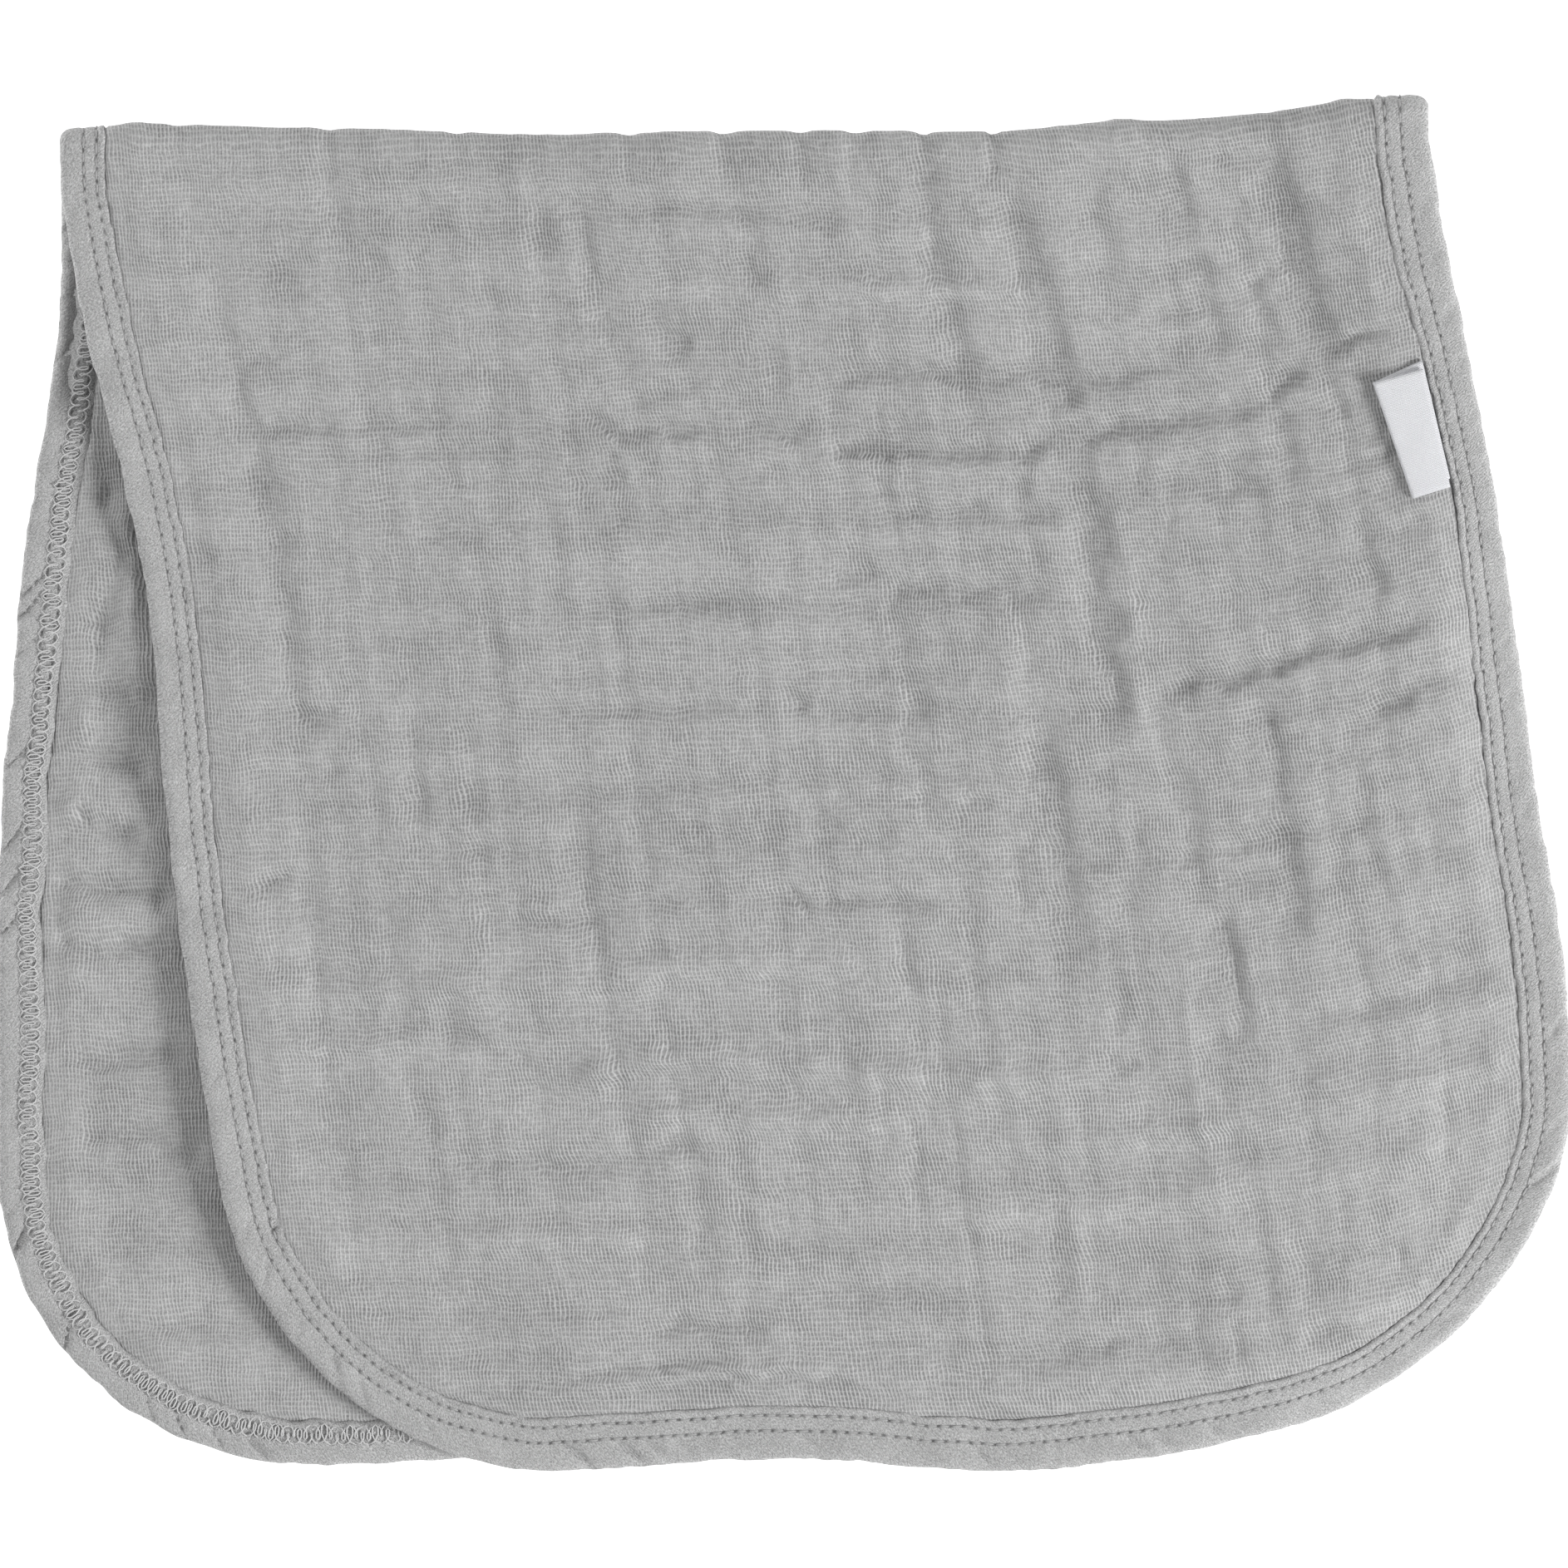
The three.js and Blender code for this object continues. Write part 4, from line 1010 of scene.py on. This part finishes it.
def binding_piece(finish):
    """The folded tape: its section carried round the outline, four steps to a stitch.

    The roll at the edge swells in and out a little, and relief counts only on the side that faces up.
    """
    share, height, side = tape_section()
    run = np.arange(4 * STITCHES)[:, None] * (STITCH_PITCH / 4)
    width = tape_width(run)
    inset = share[None, :] * width
    bulge = np.maximum(0, 0.2 + 0.2 * ripple(run, 11, 26) + 0.13 * ripple(run, 4.5, 27))
    x, y = tape_place(run, inset + bulge * (1 - rise(share, 0, 0.5))[None, :])
    lip = -0.34 * (share > 0.97)[None, :] * np.abs(side)[None, :]
    face = tape_relief(run, inset, width, 1) * np.maximum(side, 0)[None, :] * rise(y, -QUARTER_TURN, 0)
    reverse = tape_relief(run, inset, width, -1) * np.minimum(side, 0)[None, :] * rise(-y, 0, QUARTER_TURN)
    points = sheet_point(x, y, height[None, :] + face + reverse + lip * np.sign(side)[None, :])
    way = np.where(side[None, :] < 0, -1, 1)
    pattern = np.stack([np.broadcast_to(run, inset.shape), way * inset], -1)
    seam = np.stack([np.broadcast_to(run / STITCH_PITCH, inset.shape), way * share[None, :] + 0 * run], -1)
    faces = grid_faces(run.size, share.size, closed_rows=True, closed_columns=True)
    return make_piece(
        "binding_tape", points.reshape(-1, 3), [faces], finish,
        [("tape", pattern.reshape(-1, 2)), ("seam", seam.reshape(-1, 2))],
    )


def thread_tubes(path, radius, sides=6):
    """Points and faces of many short threads: rings about each path, closed by a point at either end.

    path has a row for each thread and a place for each ring, in space. Each ring lies across the path.
    """
    count, rings = path.shape[:2]
    along = np.gradient(path, axis=1)
    along /= np.linalg.norm(along, axis=-1, keepdims=True)
    across = np.cross(along, np.array([0, 0, 1.0]))
    across /= np.linalg.norm(across, axis=-1, keepdims=True)
    over = np.cross(across, along)
    turn = np.arange(sides) * 2 * np.pi / sides
    ring = (
        across[:, :, None] * np.cos(turn)[None, None, :, None]
        + over[:, :, None] * np.sin(turn)[None, None, :, None]
    )
    size = radius * np.concatenate([[0.6], np.ones(rings - 2), [0.6]])[None, :, None, None]
    tubes = (path[:, :, None] + ring * size).reshape(count, -1, 3)
    points = np.concatenate([tubes, path[:, :1], path[:, -1:]], axis=1)
    one = grid_faces(rings, sides, closed_columns=True)
    k = np.arange(sides)
    next_k = (k + 1) % sides
    low, high = rings * sides, rings * sides + 1
    last = (rings - 1) * sides
    start_cap = np.stack([np.full(sides, low), k, next_k], -1)
    end_cap = np.stack([np.full(sides, high), last + next_k, last + k], -1)
    offset = (np.arange(count) * points.shape[1])[:, None, None]
    faces = [(offset + part[None]).reshape(-1, part.shape[1]) for part in (one, start_cap, end_cap)]
    return points.reshape(-1, 3), faces


def stitches_piece(finish):
    """Two rows of stitches on the face: each thread rises from one hole and dips into the next."""
    share = np.linspace(0, 1, 6)[None, :]
    paths = []
    for row, row_share in enumerate(ROW_SHARES):
        start = (np.arange(STITCHES) - 0.5 * row)[:, None] * STITCH_PITCH
        run = start + mix(0.3, STITCH_PITCH - 0.3, share)
        width = tape_width(run)
        inset = row_share * width + 0.05 * ripple(run, 9, 31 + row)
        x, y = tape_place(run, inset)
        arch = -0.33 + 0.26 * np.sin(np.pi * share) ** 0.6 - 0.3 * rise(-y, 0, QUARTER_TURN)
        paths.append(sheet_point(x, y, BINDING_HALF + arch))
    points, faces = thread_tubes(np.concatenate(paths), ROW_RADIUS)
    return make_piece("stitch_rows", points, faces, finish)


def reverse_stitches_piece(finish):
    """The looped threads on the reverse: each curls from its own row across to the other and back.

    Along the run it goes on by one stitch and swings back half of one, as a sine of the way round.
    """
    share = np.linspace(0, 1, 9)[None, :]
    paths = []
    for lean in (0, 1):
        start = (np.arange(STITCHES) + 0.5 * lean)[:, None] * STITCH_PITCH
        loose = 1 + 0.3 * ripple(start, 5, 33 + lean) + 0.25 * ripple(start, 2.7, 35 + lean)
        run = start + STITCH_PITCH * (share + 0.35 * loose * np.sin(2 * np.pi * share))
        width = tape_width(run)
        reach = 0.5 - 0.5 * np.cos(2 * np.pi * share)
        across = mix(*LOOP_SHARES[::-1 if lean else 1], reach * np.clip(0.75 * loose, 0.3, 1.1))
        x, y = tape_place(run, across * width)
        lift = 0.3 * np.sin(np.pi * share) - 0.04 - 0.46 * rise(y, 0, QUARTER_TURN)
        paths.append(sheet_point(x, y, -BINDING_HALF - lift))
    points, faces = thread_tubes(np.concatenate(paths), LOOP_RADIUS, sides=5)
    return make_piece("stitch_loops", points, faces, finish)


def flat_of(plan):
    """The flat place of points in plan on the upper half, by a few corrections from a first guess."""
    flat = np.stack([plan[..., 0], FOLD_LINE[0][1] - plan[..., 1]], -1)
    for _ in range(12):
        off = plan - plan_of(flat[..., 0], flat[..., 1])
        flat = flat + off * np.array([1, -1])
    return flat


def label_piece(finish):
    """The label: a ribbon's closed section, out along its rear ply, round the free fold and back on top.

    Sections run from its top end to its bottom end. The fold is a half circle of the ply and air.
    """
    ply, air = LABEL["ply"], LABEL["air"]
    total = 2 * ply + air
    turn = np.linspace(-np.pi / 2, np.pi / 2, 9)
    bend = total / 2 / LABEL["length"]
    straight = np.linspace(0, 1 - bend, 16)

    def ply_line(radius):
        """Places out and heights along one side of the ply, by its share of the fold's outer radius."""
        flat = straight[:-1]
        out = np.concatenate([flat, straight[-1] + bend * radius * np.cos(turn), flat[::-1]])
        round_height = total / 2 * (1 + radius * np.sin(turn))
        low, high = total / 2 * (1 - radius), total / 2 * (1 + radius)
        return out, np.concatenate([np.full(flat.size, low), round_height, np.full(flat.size, high)])

    outer_out, outer_height = ply_line(1)
    inner_out, inner_height = ply_line(1 - 2 * ply / total)
    out = np.concatenate([outer_out, inner_out[::-1]])[None, :]
    height = np.concatenate([outer_height, inner_height[::-1]])[None, :]
    down = np.linspace(0, 1, 30)[:, None]
    corner = {name: np.array(place, float) for name, place in LABEL_CORNERS.items()}
    top = mix(corner["seam_top"], corner["fold_top"], out[..., None])
    bottom = mix(corner["seam_bottom"], corner["fold_bottom"], out[..., None])
    plan = mix(top, bottom, down[..., None])
    plan[..., 1] += np.where(height < total / 2, LABEL["rear_skew"] * (1 - out), 0)
    flat = flat_of(plan)
    under = middle(flat[..., 0], flat[..., 1])[..., 2] + CLOTH_THICK / 2 + LABEL["above"]
    bow = 0.25 * np.sin(np.pi * down) + 0.06 * swell(plan[..., 0], plan[..., 1], 7, 41)
    z = under + height + LABEL["lift"] * out * (1 - 0.7 * down) + bow * out
    points = np.concatenate([plan, z[..., None]], -1)
    loop = out.shape[1]
    faces = grid_faces(down.size, loop, closed_columns=True)
    k = np.arange(loop // 2 - 1)
    cap = np.stack([k, k + 1, loop - 2 - k, loop - 1 - k], -1)
    pattern = np.stack(np.broadcast_arrays(out * LABEL["length"], down * LABEL["width"]), -1)
    return make_piece(
        "label_ribbon", points.reshape(-1, 3), [faces, cap, (cap + (down.size - 1) * loop)[:, ::-1]],
        finish, [("ribbon", pattern.reshape(-1, 2))],
    )


class Wire:
    """A value in a material: wraps a node's socket, and an operator on it adds the Math node it needs."""

    def __init__(self, finish, socket):
        self.finish = finish
        self.socket = socket

    def out(self, name):
        """Another output of the same node."""
        return Wire(self.finish, self.socket.node.outputs[name])

    def math(self, operation, *values):
        """A Math node's result from values or wires."""
        return self.finish.node("ShaderNodeMath", {"operation": operation}, dict(enumerate(values)))

    def __add__(self, other):
        return self.math("ADD", self, other)

    def __radd__(self, other):
        return self.math("ADD", other, self)

    def __sub__(self, other):
        return self.math("SUBTRACT", self, other)

    def __rsub__(self, other):
        return self.math("SUBTRACT", other, self)

    def __mul__(self, other):
        return self.math("MULTIPLY", self, other)

    def __rmul__(self, other):
        return self.math("MULTIPLY", other, self)

    def __pow__(self, other):
        return self.math("POWER", self, other)

    def __abs__(self):
        return self.math("ABSOLUTE", self)

    def wave(self, pitch):
        """From 0 to 1 and back with every pitch, with 1 at whole ones."""
        return 0.5 + 0.5 * self.math("COSINE", self * (2 * np.pi / pitch))

    def clamp(self):
        """The value kept from 0 to 1."""
        return self.math("MINIMUM", self.math("MAXIMUM", self, 0), 1)

    def smooth(self, start, end):
        """A smooth step from 0 at start to 1 at end."""
        return self.finish.node(
            "ShaderNodeMapRange", {"interpolation_type": "SMOOTHSTEP"}, {0: self, 1: start, 2: end}
        )


def grey(level):
    """A grey colour."""
    return level, level, level, 1


class Finish:
    """A material made of nodes. node() adds any node and gives back its first output as a Wire."""

    def __init__(self, name):
        self.material = bpy.data.materials.new(name)
        self.material.use_nodes = True
        self.tree = self.material.node_tree
        self.tree.nodes.clear()

    def node(self, kind, settings=None, sockets=None):
        """Adds a node with its settings, and with values or links by a socket's name or number."""
        made = self.tree.nodes.new(kind)
        for name, value in (settings or {}).items():
            setattr(made, name, value)
        for key, value in (sockets or {}).items():
            if isinstance(value, Wire):
                self.tree.links.new(value.socket, made.inputs[key])
            else:
                made.inputs[key].default_value = value
        return Wire(self, made.outputs[0]) if made.outputs else made

    def pattern(self, name):
        """The two values of one of the piece's UV maps, and the map as a vector."""
        uv = self.node("ShaderNodeUVMap", {"uv_map": name})
        return *self.parts(uv)[:2], uv

    def parts(self, vector):
        """The three values of a vector or colour."""
        first = self.node("ShaderNodeSeparateXYZ", None, {0: vector})
        return first, first.out("Y"), first.out("Z")

    def place(self, x, y):
        """A vector from two values."""
        return self.node("ShaderNodeCombineXYZ", None, {0: x, 1: y})

    def least(self, first, second):
        """The smaller of two values."""
        return self.node("ShaderNodeMath", {"operation": "MINIMUM"}, {0: first, 1: second})

    def noise(self, where, scale, detail=2.0, roughness=0.5):
        """Noise from 0 to 1 over a vector. Its colour output holds three of them."""
        return self.node(
            "ShaderNodeTexNoise", None,
            {"Vector": where, "Scale": scale, "Detail": detail, "Roughness": roughness},
        )

    def blend(self, share, first, second):
        """First colour going over to the second by share."""
        made = self.node(
            "ShaderNodeMix", {"data_type": "RGBA"}, {"Factor": share, 6: first, 7: second}
        )
        return Wire(self, made.socket.node.outputs[2])

    def shade(self, sockets):
        """The shader with its links and constants, on its own sockets."""
        shader = self.node("ShaderNodeBsdfPrincipled", None, sockets)
        self.node("ShaderNodeOutputMaterial", None, {0: shader})
        return self.material

    def surface(self, colour, height, lift, constants):
        """A shader with a colour and a bump that lifts its height by so many metres."""
        bump = self.node("ShaderNodeBump", None, {"Height": height, "Distance": lift, "Strength": 1.0})
        return self.shade({"Base Color": colour, "Normal": bump, **constants})


COTTON = {"Roughness": 0.95, "Specular IOR Level": 0.15, "Sheen Weight": 0.08, "Sheen Roughness": 0.6}
THREAD = {"Roughness": 0.9, "Specular IOR Level": 0.15}
SATIN = {"Roughness": 0.55, "Specular IOR Level": 0.4, "Sheen Weight": 0.2}
FLOOR = {
    "Roughness": 0.9, "Specular IOR Level": 0.1, "Emission Color": (1, 1, 1, 1), "Emission Strength": 0.7,
}


def net(finish, warp_at, weft_at, fineness):
    """One ply: how much its thin threads cover, each thread of its own brightness, from 0 to 1."""
    warp_tone = finish.noise(finish.place(warp_at * (1 / WARP_PITCH), weft_at * 0.13), 0.9, 1.0)
    weft_tone = finish.noise(finish.place(warp_at * 0.13, weft_at * (1 / WEFT_PITCH)), 0.9, 1.0)
    warp = warp_at.wave(WARP_PITCH) ** fineness * (0.85 + 0.5 * warp_tone)
    weft = weft_at.wave(WEFT_PITCH) ** fineness * (0.25 + 0.6 * weft_tone)
    return 1 - (1 - warp.clamp()) * (1 - weft.clamp())


def gauze_finish():
    """Open gauze: thin light threads netted over a second ply, with dark gaps, soft bends and fuzz.

    The crease map holds how high the creases stand, so that their hollows get a little painted shade
    and their ridges a faint painted highlight.
    """
    finish = Finish("gauze")
    across, along, uv = finish.pattern("weave")
    crease, _, _ = finish.pattern("crease")
    bend_x, bend_y, bend_z = finish.parts(finish.noise(uv, 0.1, 3.0).out("Color"))
    crimp_x, crimp_y, crimp_z = finish.parts(finish.noise(uv, 0.85, 2.0).out("Color"))
    warp_at = across + (bend_x - 0.5) * 2.4 + (crimp_x - 0.5) * 0.18
    weft_at = along + (bend_y - 0.5) * 2.4 + (crimp_y - 0.5) * 0.4
    top = net(finish, warp_at, weft_at, 2.2)
    under = net(finish, warp_at + (bend_z - 0.5) * 1.6 + 0.3, weft_at + crimp_z * 0.3 + 0.4, 1.3)
    patch = finish.noise(uv, 0.14, 3.0).smooth(0.3, 0.7)
    fuzz = finish.noise(uv, 3.0, 3.0, 0.7)
    tone = finish.noise(uv, 0.045, 2.0)
    crumple = finish.noise(uv, 0.7, 2.0) + tone * 0.2
    bands = finish.noise(finish.place(across * 0.17, along * 0.013), 1.0, 1.0)
    bands = bands + finish.noise(finish.place(across * 0.013, along * 0.17), 1.0, 1.0)
    light = top * 0.6 + under * (1 - top) * (0.32 - 0.14 * patch)
    light = light + (fuzz - 0.5) * 0.9 + (crumple - 0.6) * 0.35
    light = light + 0.05 + patch * 0.03 + (bands - 1) * 0.2
    # Painted shade: crease hollows are darkened in the colour, and ridges get a faint painted highlight
    light = light + finish.least(crease, 0.15 * crease) * PAINTED_CREASE_SHADE
    colour = finish.blend(light.clamp(), grey(0.2), grey(0.755))
    height = top * 0.8 + under * 0.25 + fuzz * 0.4
    return finish.surface(colour, height, 0.00015, COTTON)


def tape_finish():
    """Soft crepe tape: a fine nap over slanting threads, with a dark hole at every stitch.

    The seam map counts stitches along and shares of the width in, below 0 on the reverse, where the
    looped threads make light knots between the rows. The dark at each stitch hole is painted shade.
    """
    finish = Finish("tape")
    run, inset, uv = finish.pattern("tape")
    stitch, share, _ = finish.pattern("seam")
    bend = finish.noise(uv, 0.6, 3.0)
    twill = (run * 0.9 + inset * 0.8 + bend * 2.2).wave(0.5)
    nap = finish.noise(uv, 2.4, 4.0, 0.7)
    tone = finish.noise(uv, 0.13, 2.0)
    uneven = finish.noise(finish.place(stitch, share * 3), 1.1, 1.0)
    # Painted shade in the stitch holes, less where the looped threads cover them on the reverse
    painted_hole_shade = 0.0
    for row, row_share in enumerate(ROW_SHARES):
        along = (stitch + 0.5 * row).wave(1) ** 1.4
        across = 1 - abs(abs(share) - row_share).smooth(0.01, 0.045)
        painted_hole_shade = along * across + painted_hole_shade
    below = share * -1
    looped = below.smooth(0, 0.1) * (1 - stitch.smooth(LOOPS_END - 3, LOOPS_END + 3))
    painted_hole_shade = (painted_hole_shade * (0.3 + 1.1 * uneven) * (1 - looped * 0.7)).clamp()
    band = below.smooth(0.38, 0.5) * (1 - below.smooth(0.84, 0.94))
    knots = finish.noise(uv, 2.1, 2.0, 0.6).smooth(0.42, 0.66) * band
    light = (nap - 0.5) * 2.6 + (twill - 0.5) * 0.22 + (tone - 0.5) * 0.4 + knots * 0.4 + 0.5
    # Painted shadow: the reverse tape is darkened over the dent, where the upper half shades it
    dent_and_painted_shadow = stitch.smooth(*DENT_AND_PAINTED_SHADOW_STITCHES[:2]) * (1 - stitch.smooth(*DENT_AND_PAINTED_SHADOW_STITCHES[2:])) * below.smooth(0, 0.3)
    light = light - dent_and_painted_shadow * 0.45
    cloth = finish.blend(light.clamp(), grey(0.3), grey(0.77))
    colour = finish.blend(painted_hole_shade * 0.86, cloth, grey(0.08))
    height = twill * 0.3 + nap * 1.4 + knots * 0.9
    return finish.surface(colour, height, 0.00022, COTTON)


def thread_finish(name, lightness):
    """Sewing thread with a fine nap."""
    finish = Finish(name)
    where = finish.node("ShaderNodeTexCoord").out("Object")
    nap = finish.noise(where, 2600.0, 2.0)
    colour = finish.blend(nap, grey(lightness - 0.1), grey(lightness + 0.1))
    return finish.surface(colour, nap, 0.00005, THREAD)


def label_finish():
    """Woven satin ribbon: fine white ribs along and across, with a slight sheen."""
    finish = Finish("label")
    out, down, uv = finish.pattern("ribbon")
    wobble = finish.noise(uv, 1.4, 2.0)
    rib = (down + wobble * 0.12).wave(0.3)
    thread = (out + down * 0.35 + wobble * 0.1).wave(0.24)
    light = rib * 0.45 + thread * 0.25 + wobble * 0.3
    colour = finish.blend(light.clamp(), (0.74, 0.745, 0.78, 1), (0.93, 0.935, 0.96, 1))
    return finish.surface(colour, rib * 0.6 + thread * 0.4, 0.0001, SATIN)


def floor_finish():
    """Plain white: it gives off a little light of its own, so that shadows on it stay pale."""
    finish = Finish("floor")
    where = finish.node("ShaderNodeTexCoord").out("Object")
    tone = finish.noise(where, 3.0, 1.0)
    colour = finish.blend(tone, grey(0.9), grey(0.92))
    return finish.shade({"Base Color": colour, **FLOOR})


def floor_piece(finish):
    """A square floor under the cloth, a hair below its underside."""
    plan = np.array([(-1, -1), (1, -1), (1, 1), (-1, 1)]) * FLOOR_HALF
    corners = np.column_stack([plan, np.full(4, -FLOOR_DROP)])
    return make_piece("floor", corners, [np.array([[0, 1, 2, 3]])], finish)


def aim(thing, target):
    """Turns a light or camera at the target, its top towards +Y."""
    way = np.array(target, float) - np.array(thing.location)
    back = -way / np.linalg.norm(way)
    side = np.cross((0, 1, 0), back)
    side = side / np.linalg.norm(side)
    top = np.cross(back, side)
    turn = np.stack([side, top, back], axis=1)
    thing.rotation_euler = Matrix(turn.tolist()).to_euler()


def studio():
    """Camera straight above, a soft key light from the right, a weaker one from the left and a pale world."""
    scene = bpy.context.scene
    scene.view_settings.view_transform = "Standard"
    world = bpy.data.worlds.new("studio")
    world.use_nodes = True
    background = world.node_tree.nodes["Background"]
    background.inputs["Color"].default_value = (1, 1, 1, 1)
    background.inputs["Strength"].default_value = WORLD_STRENGTH
    scene.world = world
    for name, place, size, power in LIGHTS:
        data = bpy.data.lights.new(name, "AREA")
        data.size = size
        data.energy = power
        light = bpy.data.objects.new(name, data)
        scene.collection.objects.link(light)
        light.location = place
        aim(light, (0, 0, 0))
    data = bpy.data.cameras.new("camera")
    data.lens = VIEW_LENS
    data.sensor_width = SENSOR
    data.clip_end = FAR
    camera = bpy.data.objects.new("camera", data)
    scene.collection.objects.link(camera)
    distance = VIEW_WIDTH * VIEW_LENS / SENSOR
    camera.location = (VIEW_MIDDLE[0] * MM, VIEW_MIDDLE[1] * MM, (VIEW_HEIGHT + distance) * MM)
    scene.camera = camera


studio()
cloth = cloth_piece(gauze_finish())
binding = binding_piece(tape_finish())
stitches = stitches_piece(thread_finish("thread", 0.48))
loops = reverse_stitches_piece(thread_finish("looped_thread", 0.66))
label = label_piece(label_finish())
floor = floor_piece(floor_finish())

for piece, slot in (
    (cloth, "gauze"), (binding, "tape"), (stitches, "tape"), (loops, "tape"), (label, "label"),
):
    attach(piece, "root")
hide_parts("cloth")
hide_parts("binding")
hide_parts("label")
